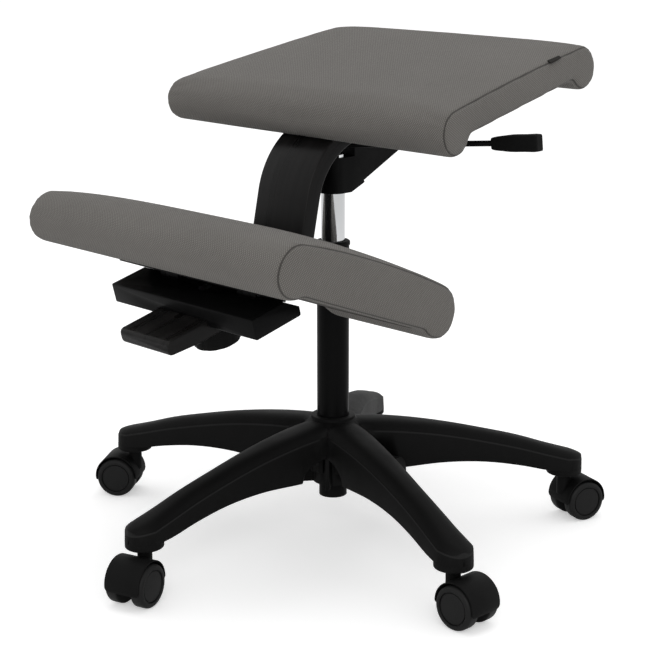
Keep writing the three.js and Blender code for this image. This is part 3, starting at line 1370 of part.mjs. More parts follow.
function clampBolt() {
  const top = CARRIAGE_TOP - SEATED_GAP;
  const headBottom = top - CLAMP_BOLT_HEAD_HEIGHT;
  const end = -ARM_THICKNESS - SEATED_GAP - CLAMP_BOLT_GRIP;
  return turned([
    [0, end],
    [CLAMP_BOLT_RADIUS, end],
    [CLAMP_BOLT_RADIUS, headBottom],
    [CLAMP_BOLT_HEAD_RADIUS, headBottom],
    [CLAMP_BOLT_HEAD_RADIUS, top],
    [0, top],
  ], SMALL);
}

function clampKnob() {
  const top = -ARM_THICKNESS - SEATED_GAP;
  const bottom = top - KNOB_HEIGHT;
  const disc = turned([
    [0, bottom],
    [KNOB_RADIUS - KNOB_EDGE, bottom],
    [KNOB_RADIUS, bottom + KNOB_EDGE],
    [KNOB_RADIUS, top - KNOB_EDGE],
    [KNOB_RADIUS - KNOB_EDGE, top],
    [0, top],
  ], 3 * KNOB_FLUTES);
  const boreRadius = roomFor(CLAMP_BOLT_RADIUS, RUNNING_GAP, SMALL);
  const bore = upright(boreRadius, top - CLAMP_BOLT_GRIP - SEATED_GAP, top + OVERRUN, SMALL);
  const flutes = [];
  for (let index = 0; index < KNOB_FLUTES; index += 1) {
    const flute = upright(KNOB_FLUTE_RADIUS, bottom - OVERRUN, top + OVERRUN, TINY);
    const reach = KNOB_RADIUS + KNOB_FLUTE_RADIUS - KNOB_FLUTE_DEPTH;
    flutes.push(flute.translate(reach, 0, 0).rotateZ((2 * Math.PI * index) / KNOB_FLUTES));
  }
  return cut(disc, bore, ...flutes);
}

function addCarriage() {
  piece('carriage_block', carriageBlock(), paint, railFrame);
  piece('clamp_bolt', clampBolt(), steel, railFrame);
  piece('clamp_knob', clampKnob(), nylon, railFrame);
}

// Knee pad on its tilting bracket

const kneePad = {
  front: KNEE_FRONT_ROLL,
  rear: KNEE_REAR_ROLL,
  radius: KNEE_ROLL_RADIUS,
  height: KNEE_ROLL_HEIGHT,
  underside: KNEE_UNDERSIDE,
  crown: KNEE_CROWN,
  arch: KNEE_ARCH,
  fullness: KNEE_FULLNESS_SHARE,
  frontHalf: KNEE_HALF_WIDTH,
  rearHalf: KNEE_HALF_WIDTH,
};
const kneeScrewPlaces = [[-KNEE_SCREW_X, KNEE_SCREW_V], [KNEE_SCREW_X, KNEE_SCREW_V]];

// The notch in the pad's rear edge that the arm passes through
function notch(margin) {
  const half = KNEE_NOTCH_HALF_WIDTH + margin;
  const front = KNEE_NOTCH_FRONT - margin;
  const rear = KNEE_REAR_ROLL + KNEE_ROLL_RADIUS + OVERRUN;
  const mouthTurn = rear - KNEE_NOTCH_MOUTH;
  const corner = KNEE_NOTCH_CORNER;
  const shape = new THREE.Shape();
  shape.moveTo(-half - KNEE_NOTCH_MOUTH, rear);
  shape.quadraticCurveTo(-half, rear, -half, mouthTurn);
  shape.lineTo(-half, front + corner);
  shape.quadraticCurveTo(-half, front, -half + corner, front);
  shape.lineTo(half - corner, front);
  shape.quadraticCurveTo(half, front, half, front + corner);
  shape.lineTo(half, mouthTurn);
  shape.quadraticCurveTo(half, rear, half + KNEE_NOTCH_MOUTH, rear);
  shape.closePath();
  return raised(shape, TILT_BRACKET_BOTTOM, KNEE_ROLL_HEIGHT + KNEE_ROLL_RADIUS + KNEE_CROWN + KNEE_ARCH + OVERRUN);
}

function tiltBracket() {
  const plan = outline([
    [-TILT_BRACKET_HALF_WIDTH, TILT_BRACKET_FRONT, TILT_BRACKET_CORNER],
    [TILT_BRACKET_HALF_WIDTH, TILT_BRACKET_FRONT, TILT_BRACKET_CORNER],
    [TILT_BRACKET_HALF_WIDTH, TILT_BRACKET_REAR, TILT_BRACKET_CORNER],
    [-TILT_BRACKET_HALF_WIDTH, TILT_BRACKET_REAR, TILT_BRACKET_CORNER],
  ]);
  const parts = [raised(plan, TILT_BRACKET_BOTTOM, TILT_BRACKET_TOP, 3)];
  const tools = [];
  for (const way of [-1, 1]) {
    parts.push(toKnee(onTiltAxis(TILT_KNUCKLE_RADIUS, way, knuckleInner, lugNear - SIDE_GAP)));
    parts.push(toKnee(onTiltAxis(TILT_KNUCKLE_RADIUS, way, lugFar + SIDE_GAP, knuckleOuter)));
    const relief = TILT_LUG_RADIUS + TILT_RELIEF;
    tools.push(toKnee(onTiltAxis(relief, way, lugNear - SIDE_GAP, lugFar + SIDE_GAP)));
    tools.push(toKnee(onTiltAxis(tiltPinBore, way, knuckleInner - SIDE_GAP, knuckleOuter + SIDE_GAP)));
  }
  tools.push(...drilled(SCREW_RADIUS, kneeScrewPlaces, -OVERRUN, TILT_BRACKET_TOP + OVERRUN));
  tools.push(...drilled(
    SCREW_HEAD_RADIUS,
    kneeScrewPlaces,
    TILT_BRACKET_BOTTOM - OVERRUN,
    TILT_BRACKET_BOTTOM + SCREW_HEAD_HEIGHT + 2 * SEATED_GAP,
    SMALL,
  ));
  return cut(join(...parts), ...tools);
}

function addKneePad() {
  piece('tilt_bracket', tiltBracket(), paint, kneeFrame);
  [-1, 1].forEach((way, index) => {
    const pin = toKnee(onTiltAxis(TILT_PIN_RADIUS, way, knuckleInner, knuckleOuter, TINY));
    piece(`tilt_pin_${index + 1}`, pin, steel, kneeFrame);
  });
  const holes = drilled(SCREW_RADIUS, kneeScrewPlaces, 0, KNEE_UNDERSIDE + KNEE_SCREW_SHANK);
  const inner = notch(BOARD_INSET);
  const pocket = cut(boardPocket(kneePad, KNEE_BOARD_THICKNESS), notch(BOARD_INSET - SEATED_GAP));
  piece('knee_board', cut(boardIn(kneePad, KNEE_BOARD_THICKNESS), inner, ...holes), plywood, kneeFrame);
  piece('knee_bottom_cover', cut(bottomCover(kneePad), inner, ...holes), backing, kneeFrame);
  piece('knee_cushion', cut(cushionBody(kneePad), notch(0), pocket), fabric, kneeFrame);
  kneeScrewPlaces.forEach(([x, y], index) => {
    const headBottom = TILT_BRACKET_BOTTOM + SEATED_GAP;
    const shape = woodScrew(headBottom, KNEE_SCREW_SHANK).translate(x, y, 0);
    piece(`knee_screw_${index + 1}`, shape, steel, kneeFrame);
  });
}

addColumn();
addCastors();
addSeat();
addArm();
addLever();
addCarriage();
addKneePad();

model.updateMatrixWorld(true);
const extent = new THREE.Box3().setFromObject(model, true);
const chair = new THREE.Group();
chair.name = 'kneeling_chair';
model.position.set(-(extent.min.x + extent.max.x) / 2, -(extent.min.y + extent.max.y) / 2, -extent.min.z);
chair.add(model);
chair.updateMatrixWorld(true);

export default chair;
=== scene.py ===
# %% [markdown]
# A kneeling chair for a studio picture
#
# The chair has a sloping seat, a bentwood arm that drops from it, a knee pad on the arm's rail, and a
# gas column on a five-legged castor base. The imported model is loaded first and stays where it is. This
# script dresses it: soft forms for the cushions, rounder copies of the rigid pieces, and a finish for
# every surface. All lengths are in metres.

# %% Load the frame
import json
import math

import bmesh
import bpy
import numpy as np
from mathutils import Matrix, Vector


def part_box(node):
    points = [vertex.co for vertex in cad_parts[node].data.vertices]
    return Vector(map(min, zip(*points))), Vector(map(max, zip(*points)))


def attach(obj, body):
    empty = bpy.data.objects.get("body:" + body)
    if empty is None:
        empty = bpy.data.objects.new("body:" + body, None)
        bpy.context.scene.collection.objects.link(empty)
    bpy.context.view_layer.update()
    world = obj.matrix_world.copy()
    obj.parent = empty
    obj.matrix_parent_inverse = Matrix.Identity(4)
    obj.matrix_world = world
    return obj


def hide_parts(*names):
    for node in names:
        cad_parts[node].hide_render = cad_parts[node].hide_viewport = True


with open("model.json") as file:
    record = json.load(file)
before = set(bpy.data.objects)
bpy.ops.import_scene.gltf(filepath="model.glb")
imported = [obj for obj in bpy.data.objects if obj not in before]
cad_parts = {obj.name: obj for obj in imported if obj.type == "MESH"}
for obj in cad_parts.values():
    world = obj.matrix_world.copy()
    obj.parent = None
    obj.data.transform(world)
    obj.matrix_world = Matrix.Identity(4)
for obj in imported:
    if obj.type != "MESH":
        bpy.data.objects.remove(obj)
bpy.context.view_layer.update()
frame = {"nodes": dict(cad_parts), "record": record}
bodies = frame["record"]["behaviour"]["bodies"]
home = {node: body for body, members in bodies.items() for node in members}

# %% [markdown]
# Where things stand
#
# The column's axis is the middle of its tube, so it is read from the frame. Three parts of the chair lean:
# the seat, the rail and the knee pad. Each gets a matrix, so that its pieces can be drawn level and then
# laid in place. A finished piece keeps its object at the origin and has its place in its mesh.

# %% The column axis and the leaning frames
tube_low, tube_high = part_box("column_tube")
AXIS = Vector(((tube_low.x + tube_high.x) / 2, (tube_low.y + tube_high.y) / 2, 0))
SEAT_SLOPE = 11.5
RAIL_SLOPE = 14.5
KNEE_SLOPE = -20.3
SEAT_UNDERSIDE_HEIGHT = 0.5172
RAIL_ORIGIN = (-0.194, 0.3261)
TILT_AXIS = (-0.190, 0.3445)


def leaning(y, z, slope):
    """A frame in the chair's middle plane that leans back by a slope in degrees."""
    return Matrix.Translation(AXIS + Vector((0, y, z))) @ Matrix.Rotation(math.radians(slope), 4, "X")


seat_frame = leaning(0, SEAT_UNDERSIDE_HEIGHT, SEAT_SLOPE)
rail_frame = leaning(*RAIL_ORIGIN, RAIL_SLOPE)
knee_frame = leaning(*TILT_AXIS, KNEE_SLOPE)
print("column axis", tuple(round(value, 4) for value in AXIS))

# %% [markdown]
# Helpers for every shape
#
# Most pieces here are turned, raised from an outline, or swept through sections. A few small functions
# cover all of these. Each one starts from a handful of points and lets a bmesh operator make the faces.

# %% Outlines with round corners
MERGE = 1e-6


def rounded(corners, closed=False, steps=4):
    """Points along straight runs. A corner is (u, v) or, where it is round, (u, v, radius)."""
    points = []
    count = len(corners)
    for index, corner in enumerate(corners):
        here = Vector(corner[:2])
        radius = corner[2] if len(corner) > 2 else 0
        if radius == 0 or (not closed and index in (0, count - 1)):
            points.append(here)
            continue
        back = (Vector(corners[index - 1][:2]) - here).normalized()
        on = (Vector(corners[(index + 1) % count][:2]) - here).normalized()
        half = back.angle(on) / 2
        middle = here + (back + on).normalized() * (radius / math.sin(half))
        spoke = here + back * (radius / math.tan(half)) - middle
        way = 1 if back.x * on.y - back.y * on.x < 0 else -1
        for step in range(steps + 1):
            turn = way * (math.pi - 2 * half) * step / steps
            points.append(middle + Matrix.Rotation(turn, 2) @ spoke)
    return points


# %% Turned, raised and swept shapes
def outward(bm):
    """Turns all faces of a closed body outward."""
    bmesh.ops.recalc_face_normals(bm, faces=bm.faces)
    if all(edge.is_manifold for edge in bm.edges) and bm.calc_volume(signed=True) < 0:
        bmesh.ops.reverse_faces(bm, faces=bm.faces)
    return bm


def spun(profile, steps=72, angle=2 * math.pi):
    """A shape turned about Z from (radius, height) points."""
    bm = bmesh.new()
    verts = [bm.verts.new((radius, 0, height)) for radius, height in profile]
    edges = [bm.edges.new(pair) for pair in zip(verts, verts[1:])]
    bmesh.ops.spin(
        bm, geom=verts + edges, cent=(0, 0, 0), axis=(0, 0, 1), dvec=(0, 0, 0),
        angle=angle, steps=steps, use_merge=angle == 2 * math.pi, use_duplicate=False,
    )
    bmesh.ops.remove_doubles(bm, verts=bm.verts, dist=MERGE)
    return outward(bm)


def raised(points, low, high):
    """A flat outline in X and Y, raised from one height to another."""
    bm = bmesh.new()
    face = bm.faces.new([bm.verts.new((u, v, low)) for u, v in points])
    made = bmesh.ops.extrude_face_region(bm, geom=[face])["geom"]
    top = [item for item in made if isinstance(item, bmesh.types.BMVert)]
    bmesh.ops.translate(bm, vec=(0, 0, high - low), verts=top)
    return outward(bm)


def swept(rings):
    """A body through closed rings of points, capped at both ends. Its UV map is in metres of surface."""
    bm = bmesh.new()
    place = bm.verts.layers.int.new("place")
    station = bm.verts.layers.int.new("station")
    verts = [bm.verts.new(point) for point in rings[0]]
    for index, vert in enumerate(verts):
        vert[place] = index
    edges = [bm.edges.new((vert, verts[index - 1])) for index, vert in enumerate(verts)]
    first = edges
    for number, ring in enumerate(rings[1:], 1):
        made = bmesh.ops.extrude_edge_only(bm, edges=edges)["geom"]
        fresh = {item for item in made if isinstance(item, bmesh.types.BMVert)}
        for vert in fresh:
            vert.co = ring[vert[place]]
            vert[station] = number
        edges = list({edge for vert in fresh for edge in vert.link_edges if edge.other_vert(vert) in fresh})
    map_cloth(bm, rings, place, station)
    bmesh.ops.contextual_create(bm, geom=first)
    bmesh.ops.contextual_create(bm, geom=edges)
    return outward(bm)


def map_cloth(bm, rings, place, station):
    """Lays a UV map over swept faces: u runs round the section and v along the sweep."""
    across = [0.0]
    for index, point in enumerate(rings[0]):
        across.append(across[-1] + (point - rings[0][(index + 1) % len(rings[0])]).length)
    along = [0.0]
    for before, after in zip(rings, rings[1:]):
        along.append(along[-1] + (sum(after, Vector()) - sum(before, Vector())).length / len(after))
    uv = bm.loops.layers.uv.new("surface")
    last = len(rings[0]) - 1
    for face in bm.faces:
        places = [loop.vert[place] for loop in face.loops]
        closing = last in places and 0 in places
        for loop in face.loops:
            index = loop.vert[place]
            index = last + 1 if closing and index == 0 else index
            loop[uv].uv = (across[index], along[loop.vert[station]])


# %% Joining, rounding and placing
def add_to(bm, other, place=None):
    """Adds another bmesh to this one."""
    if place is not None:
        other.transform(place)
    part = bpy.data.meshes.new("part")
    other.to_mesh(part)
    other.free()
    bm.from_mesh(part)
    bpy.data.meshes.remove(part)
    return bm


def eased(bm, radius, least=28, segments=3):
    """Rounds every edge that turns by more than an angle in degrees."""
    limit = math.radians(least)
    sharp = [edge for edge in bm.edges if edge.is_manifold and edge.calc_face_angle(0) > limit]
    bmesh.ops.bevel(
        bm, geom=sharp, offset=radius, offset_type="OFFSET", segments=segments,
        profile=0.5, affect="EDGES", clamp_overlap=True, material=-1,
    )
    return bm


def bar(radius, start, end, steps=32, edge=0.0):
    """A round bar between two points. Its ends get a small rounding when an edge is given."""
    start, end = Vector(start), Vector(end)
    length = (end - start).length
    profile = [(0, 0), (radius, 0, edge), (radius, length, edge), (0, length)]
    bm = spun(rounded(profile, steps=3) if edge else [corner[:2] for corner in profile], steps)
    turn = Vector((0, 0, 1)).rotation_difference(end - start).to_matrix().to_4x4()
    bm.transform(Matrix.Translation(start) @ turn)
    return bm


def make_piece(bm, name, finish, place=None, sharp=32):
    """An object at the origin, with its place in its mesh."""
    mesh = bpy.data.meshes.new(name)
    bm.to_mesh(mesh)
    bm.free()
    if place is not None:
        mesh.transform(place)
    mesh.polygons.foreach_set("use_smooth", [True] * len(mesh.polygons))
    mesh.set_sharp_from_angle(angle=math.radians(sharp))
    mesh.materials.append(finish)
    piece = bpy.data.objects.new(name, mesh)
    bpy.context.scene.collection.objects.link(piece)
    return piece


def stand_for(piece, slot, *nodes):
    """The piece is shown in place of CAD nodes and moves with the first one's body."""
    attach(piece, home[nodes[0]])
    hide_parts(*nodes)
    print(piece.name, "faces", len(piece.data.polygons))
    return piece


def copied(node):
    """A merged copy of a CAD node's mesh, with its flat faces whole again."""
    bm = bmesh.new()
    bm.from_mesh(frame["nodes"][node].data)
    bmesh.ops.remove_doubles(bm, verts=bm.verts, dist=MERGE)
    bmesh.ops.dissolve_limit(bm, angle_limit=math.radians(1), verts=bm.verts, edges=bm.edges)
    return bm


def carved(piece, *cutters):
    """Takes cutters away from a piece and leaves no modifier on it."""
    for cutter in cutters:
        tool = make_piece(cutter, "cutter", piece.data.materials[0])
        modifier = piece.modifiers.new("cut", "BOOLEAN")
        modifier.operation = "DIFFERENCE"
        modifier.solver = "EXACT"
        modifier.object = tool
        settle(piece)
        bpy.data.objects.remove(tool)
    return piece


def settle(piece):
    """Applies a piece's modifiers."""
    ready = piece.evaluated_get(bpy.context.evaluated_depsgraph_get())
    mesh = bpy.data.meshes.new_from_object(ready)
    old = piece.data
    piece.modifiers.clear()
    piece.data = mesh
    mesh.name = old.name
    bpy.data.meshes.remove(old)


# %% [markdown]
# Shared effects for the finishes
#
# Three effects turn up on more than one material, so each is a node group with named inputs: a fine
# moulded or sprayed grain, worn edges, and a plain weave. A group only puts out colours, masks and
# heights. The shader itself stays in the material.

# %% Building blocks for node groups
def new_group(name, inputs, outputs):
    """An empty shader group. Each socket is (name, type, value)."""
    group = bpy.data.node_groups.new(name, "ShaderNodeTree")
    for label, kind, value in inputs:
        socket = group.interface.new_socket(label, in_out="INPUT", socket_type=kind)
        if value is not None:
            socket.default_value = value
    for label, kind in outputs:
        group.interface.new_socket(label, in_out="OUTPUT", socket_type=kind)
    return group, group.nodes.new("NodeGroupInput"), group.nodes.new("NodeGroupOutput")


def node(tree, kind, links=None, **settings):
    """A node with its settings, and its input sockets linked or set by name or number."""
    made = tree.nodes.new(kind)
    for key, value in settings.items():
        setattr(made, key, value)
    for socket, value in (links or {}).items():
        if isinstance(value, bpy.types.NodeSocket):
            tree.links.new(value, made.inputs[socket])
        else:
            made.inputs[socket].default_value = value
    return made


def maths(tree, operation, first, second=0.0, third=None):
    """One sum on values or sockets."""
    links = {0: first, 1: second}
    if third is not None:
        links[2] = third
    return node(tree, "ShaderNodeMath", links, operation=operation).outputs[0]


def blended(tree, factor, first, second):
    """A mix of two colours."""
    mix = node(tree, "ShaderNodeMix", {0: factor, 6: first, 7: second}, data_type="RGBA")
    return mix.outputs[2]


FLOAT = "NodeSocketFloat"
VECTOR = "NodeSocketVector"

# %% Grain of a moulded or sprayed skin
grain, grain_in, grain_out = new_group(
    "fine_grain",
    [("Position", VECTOR, None), ("Size", FLOAT, 0.001), ("Cloud Size", FLOAT, 0.06)],
    [("Height", FLOAT), ("Cloud", FLOAT)],
)
per_size = maths(grain, "DIVIDE", 1.0, grain_in.outputs["Size"])
per_cloud = maths(grain, "DIVIDE", 1.0, grain_in.outputs["Cloud Size"])
pits = node(grain, "ShaderNodeTexNoise", {
    "Vector": grain_in.outputs["Position"], "Scale": per_size, "Detail": 3.0, "Roughness": 0.6,
})
cloud = node(grain, "ShaderNodeTexNoise", {
    "Vector": grain_in.outputs["Position"], "Scale": per_cloud, "Detail": 4.0, "Roughness": 0.55,
})
grain.links.new(pits.outputs[0], grain_out.inputs["Height"])
grain.links.new(cloud.outputs[0], grain_out.inputs["Cloud"])

# %% Wear on edges that stand out
wear, wear_in, wear_out = new_group(
    "edge_wear",
    [("Position", VECTOR, None), ("Amount", FLOAT, 0.5), ("Patch Size", FLOAT, 0.012)],
    [("Mask", FLOAT)],
)
shape = node(wear, "ShaderNodeNewGeometry")
ridge = node(wear, "ShaderNodeMapRange", {
    "Value": shape.outputs["Pointiness"], "From Min": 0.52, "From Max": 0.62,
})
patches = node(wear, "ShaderNodeTexNoise", {
    "Vector": wear_in.outputs["Position"],
    "Scale": maths(wear, "DIVIDE", 1.0, wear_in.outputs["Patch Size"]),
    "Detail": 5.0,
})
pale_edge = maths(wear, "MULTIPLY", ridge.outputs[0], patches.outputs[0])
wear.links.new(maths(wear, "MULTIPLY", pale_edge, wear_in.outputs["Amount"]), wear_out.inputs["Mask"])

# %% [markdown]
# The weave
#
# The chair's cloth is a plain weave of two yarns, a lighter one and a darker one, each going over and
# under the other. Sines across the cloth give the yarns their round backs, and the sign of their
# product says which yarn is on top. The pattern reads the piece's own UV map, which is in metres, so
# the threads follow the cloth round the lips of the pads.

# %% Plain weave
weave, weave_in, weave_out = new_group(
    "plain_weave",
    [("Surface", VECTOR, None), ("Pitch", FLOAT, 0.0014)],
    [("Height", FLOAT), ("Over", FLOAT), ("Slub", FLOAT)],
)
waves = maths(weave, "DIVIDE", math.pi, weave_in.outputs["Pitch"])
spread = node(weave, "ShaderNodeSeparateXYZ", {0: weave_in.outputs["Surface"]})
warp = maths(weave, "SINE", maths(weave, "MULTIPLY", spread.outputs[0], waves))
weft = maths(weave, "SINE", maths(weave, "MULTIPLY", spread.outputs[1], waves))
over = node(weave, "ShaderNodeMapRange", {
    "Value": maths(weave, "MULTIPLY", warp, weft), "From Min": -0.12, "From Max": 0.12,
}).outputs[0]
warp_back = maths(weave, "ABSOLUTE", warp)
weft_back = maths(weave, "ABSOLUTE", weft)
warp_top = maths(weave, "MULTIPLY", warp_back, maths(weave, "MULTIPLY_ADD", weft_back, 0.45, 0.55))
weft_top = maths(weave, "MULTIPLY", weft_back, maths(weave, "MULTIPLY_ADD", warp_back, 0.45, 0.55))
lift = node(weave, "ShaderNodeMix", {0: over, 2: weft_top, 3: warp_top}, data_type="FLOAT")
long_slub = node(weave, "ShaderNodeMapping", {0: weave_in.outputs["Surface"], "Scale": (900, 60, 1)})
slub = node(weave, "ShaderNodeTexNoise", {"Vector": long_slub.outputs[0], "Scale": 1.0, "Detail": 2.0})
weave.links.new(lift.outputs[0], weave_out.inputs["Height"])
weave.links.new(over, weave_out.inputs["Over"])
weave.links.new(slub.outputs[0], weave_out.inputs["Slub"])

# %% [markdown]
# Finishes
#
# Most of the chair is black, and what tells the blacks apart is how they shine: the moulded nylon is
# grainy and dull, the paint a little smoother, the stained wood has a satin coat. Each finish varies its
# colour and roughness a little, as no real surface is the same all over.

# %% Start of a finish
def tone(red, green, blue):
    """A screen colour from 0 to 255, as the shader wants it."""
    def linear(value):
        value /= 255
        return value / 12.92 if value <= 0.04045 else ((value + 0.055) / 1.055) ** 2.4
    return (linear(red), linear(green), linear(blue), 1.0)


def new_finish(name, settings):
    """A material with a Principled shader. Returns the tree, the shader and object coordinates."""
    material = bpy.data.materials.new(name)
    material.use_nodes = True
    tree = material.node_tree
    shader = tree.nodes["Principled BSDF"]
    for socket, value in settings.items():
        shader.inputs[socket].default_value = value
    position = node(tree, "ShaderNodeTexCoord").outputs["Object"]
    return material, tree, shader, position


def use_group(tree, group, links):
    """A shared effect placed in a material."""
    made = tree.nodes.new("ShaderNodeGroup")
    made.node_tree = group
    for socket, value in links.items():
        if isinstance(value, bpy.types.NodeSocket):
            tree.links.new(value, made.inputs[socket])
        else:
            made.inputs[socket].default_value = value
    return made


def bumped(tree, shader, height, distance, strength=1.0, normal=None):
    """Turns a height in the surface into a change of its normal."""
    links = {"Height": height, "Distance": distance, "Strength": strength}
    if normal is not None:
        links["Normal"] = normal
    bump = node(tree, "ShaderNodeBump", links)
    tree.links.new(bump.outputs[0], shader.inputs["Normal"])
    return bump.outputs[0]


def between(tree, value, low, high):
    """Stretches a noise value to a range."""
    made = node(tree, "ShaderNodeMapRange", {"Value": value, "From Min": 0.3, "From Max": 0.7})
    made.inputs["To Min"].default_value = low
    made.inputs["To Max"].default_value = high
    return made.outputs[0]


# %% Black skins: moulded nylon, paint and the wheels' tyres
def black_skin(name, dark, light, pale_edge, roughness, grain_size, depth, specular, coat=0.0):
    """A black surface with a fine grain, cloudy colour, slightly worn edges, and a painted highlight along the legs'
    crease.
    """
    material, tree, shader, position = new_finish(name, {
        "Specular IOR Level": specular, "Coat Weight": coat, "Coat Roughness": 0.3,
    })
    skin = use_group(tree, grain, {"Position": position, "Size": grain_size})
    edges = use_group(tree, wear, {"Position": position, "Amount": 0.6})
    # A thin line along the legs' crease is painted lighter. It is a painted highlight where that edge catches light,
    # mixed in with the real edge wear.
    crease = node(tree, "ShaderNodeAttribute", attribute_name="crease").outputs["Fac"]
    from_crease = maths(tree, "ABSOLUTE", maths(tree, "SUBTRACT", crease, 1.0))
    line = node(tree, "ShaderNodeMapRange", {
        "Value": from_crease, "From Min": 0.0014, "From Max": 0.0006, "To Max": 0.75,
    }).outputs[0]
    wear_and_crease_highlight = maths(tree, "MAXIMUM", edges.outputs["Mask"], line)
    colour = blended(tree, skin.outputs["Cloud"], dark, light)
    colour = blended(tree, wear_and_crease_highlight, colour, pale_edge)
    tree.links.new(colour, shader.inputs["Base Color"])
    tree.links.new(between(tree, skin.outputs["Cloud"], *roughness), shader.inputs["Roughness"])
    bumped(tree, shader, skin.outputs["Height"], depth)
    return material


nylon = black_skin(
    "black_nylon", tone(10, 10, 10), tone(15, 15, 15), tone(38, 38, 38),
    (0.5, 0.64), 0.0009, 0.00008, 0.07,
)
paint = black_skin(
    "black_paint", tone(8, 8, 9), tone(12, 12, 12), tone(38, 38, 38),
    (0.3, 0.42), 0.0016, 0.00006, 0.05,
)
tyre = black_skin(
    "dark_tread", tone(22, 22, 22), tone(30, 30, 30), tone(48, 48, 48),
    (0.36, 0.5), 0.0012, 0.00005, 0.12,
)

# %% Stained wood
def stained_wood():
    """Black stain under a satin coat, with the grain along the bent strip."""
    material, tree, shader, position = new_finish("black_stained_wood", {
        "Specular IOR Level": 0.1, "Coat Weight": 0.03, "Coat Roughness": 0.2,
    })
    surface = node(tree, "ShaderNodeUVMap", uv_map="surface").outputs[0]
    run = node(tree, "ShaderNodeMapping", {0: surface, "Scale": (420, 7, 1)}).outputs[0]
    fibres = node(tree, "ShaderNodeTexNoise", {"Vector": run, "Scale": 1.0, "Detail": 5.0}).outputs[0]
    broad = node(tree, "ShaderNodeMapping", {0: surface, "Scale": (60, 3.0, 1)}).outputs[0]
    bands = node(tree, "ShaderNodeTexNoise", {"Vector": broad, "Scale": 1.0, "Detail": 4.0}).outputs[0]
    edges = use_group(tree, wear, {"Position": position, "Amount": 0.7})
    colour = blended(tree, between(tree, bands, 0.0, 1.0), tone(7, 7, 7), tone(25, 24, 24))
    colour = blended(tree, edges.outputs["Mask"], colour, tone(56, 54, 52))
    tree.links.new(colour, shader.inputs["Base Color"])
    tree.links.new(between(tree, bands, 0.22, 0.42), shader.inputs["Roughness"])
    bumped(tree, shader, fibres, 0.00009)
    return material


wood = stained_wood()

# %% Metals
def bare_metal(name, colour, roughness, depth):
    """Metal with fine marks along its length and faint smudges."""
    material, tree, shader, position = new_finish(name, {"Metallic": 1.0})
    marks = node(tree, "ShaderNodeMapping", {0: position, "Scale": (900, 900, 25)}).outputs[0]
    lines = node(tree, "ShaderNodeTexNoise", {"Vector": marks, "Scale": 1.0, "Detail": 2.0}).outputs[0]
    smudge = use_group(tree, grain, {"Position": position, "Size": 0.002, "Cloud Size": 0.03})
    tree.links.new(
        blended(tree, smudge.outputs["Cloud"], colour, tone(236, 237, 238)), shader.inputs["Base Color"]
    )
    tree.links.new(between(tree, smudge.outputs["Cloud"], *roughness), shader.inputs["Roughness"])
    bumped(tree, shader, lines, depth)
    return material


chrome = bare_metal("chrome", tone(222, 224, 226), (0.05, 0.1), 0.000004)
steel = bare_metal("bright_steel", tone(150, 150, 152), (0.28, 0.4), 0.00001)

# %% Plywood
def plywood_finish():
    """Birch faces with veneer lines where the edge is cut."""
    material, tree, shader, position = new_finish("plywood", {"Roughness": 0.6})
    run = node(tree, "ShaderNodeMapping", {0: position, "Scale": (9, 160, 9)}).outputs[0]
    fibres = node(tree, "ShaderNodeTexNoise", {"Vector": run, "Scale": 1.0, "Detail": 4.0}).outputs[0]
    tree.links.new(
        blended(tree, fibres, tone(170, 134, 92), tone(206, 172, 128)), shader.inputs["Base Color"]
    )
    bumped(tree, shader, fibres, 0.0001)
    return material


plywood = plywood_finish()

# %% Cloth
def cloth(name, light, dark, pitch, depth, sheen=0.12, sewn=False):
    """Woven cloth in two yarns, with painted shade between them. On a pad the seam is sunk, with a dark line of
    painted shade along it.
    """
    material, tree, shader, position = new_finish(name, {
        "Roughness": 0.92, "Specular IOR Level": 0.15, "Sheen Weight": sheen, "Sheen Roughness": 0.5,
    })
    surface = node(tree, "ShaderNodeUVMap", uv_map="surface").outputs[0]
    yarns = use_group(tree, weave, {"Surface": surface, "Pitch": pitch})
    patch = use_group(tree, grain, {"Position": position, "Size": 0.004, "Cloud Size": 0.09})
    colour = blended(tree, yarns.outputs["Over"], dark, light)
    # Where the yarns dip, the colour is darkened: painted shade between the yarns.
    valley_shade = tuple(0.62 * value for value in dark[:3]) + (1.0,)
    colour = blended(tree, between(tree, yarns.outputs["Height"], 0.6, 0.0), colour, valley_shade)
    shade = node(tree, "ShaderNodeHueSaturation", {
        "Color": colour,
        "Value": maths(tree, "ADD", between(tree, yarns.outputs["Slub"], -0.06, 0.06),
                       between(tree, patch.outputs["Cloud"], 0.97, 1.03)),
    })
    finished, height = shade.outputs[0], maths(tree, "MULTIPLY", yarns.outputs["Height"], depth)
    if sewn:
        # Along the seam's groove a dark line of painted shade is mixed in, and a bump sinks the groove.
        seam = node(tree, "ShaderNodeAttribute", attribute_name="seam").outputs["Fac"]
        line = node(tree, "ShaderNodeMapRange", {
            "Value": maths(tree, "ABSOLUTE", seam), "From Min": 0.0014, "From Max": 0.0004,
        }).outputs[0]
        finished = blended(tree, maths(tree, "MULTIPLY", line, 0.85), finished, SEAM_SHADE_COLOUR)
        height = maths(tree, "MULTIPLY_ADD", line, -STITCH_SINK, height)
    tree.links.new(finished, shader.inputs["Base Color"])
    bumped(tree, shader, height, 1.0)
    return material


# The colour of the painted shade along the seams.
SEAM_SHADE_COLOUR = tone(52, 50, 48)
STITCH_SINK = 0.0006
weave_cloth = cloth("grey_weave", tone(126, 123, 119), tone(96, 93, 89), 0.0015, 0.00042, sewn=True)
under_cloth = cloth("grey_underside_cloth", tone(96, 93, 90), tone(76, 74, 71), 0.0011, 0.0002, 0.05)
thread = cloth("seam_thread", tone(52, 50, 48), tone(38, 37, 35), 0.0008, 0.0002, 0.0)

# %% [markdown]
# The two cushions
#
# The real pads are foam on a board, wrapped in one cloth from the underside round the lips and over the
# top, with a panel sewn in at each side. The seam runs round the panel on the corner. Each pad starts as
# its side view, carried across from one panel to the other with a low crown. That body is a little too
# small, because Blender's cloth then blows it up between its seams. Seams narrower than a voxel would be
# lost in the remesh, so they are pressed in at the end.

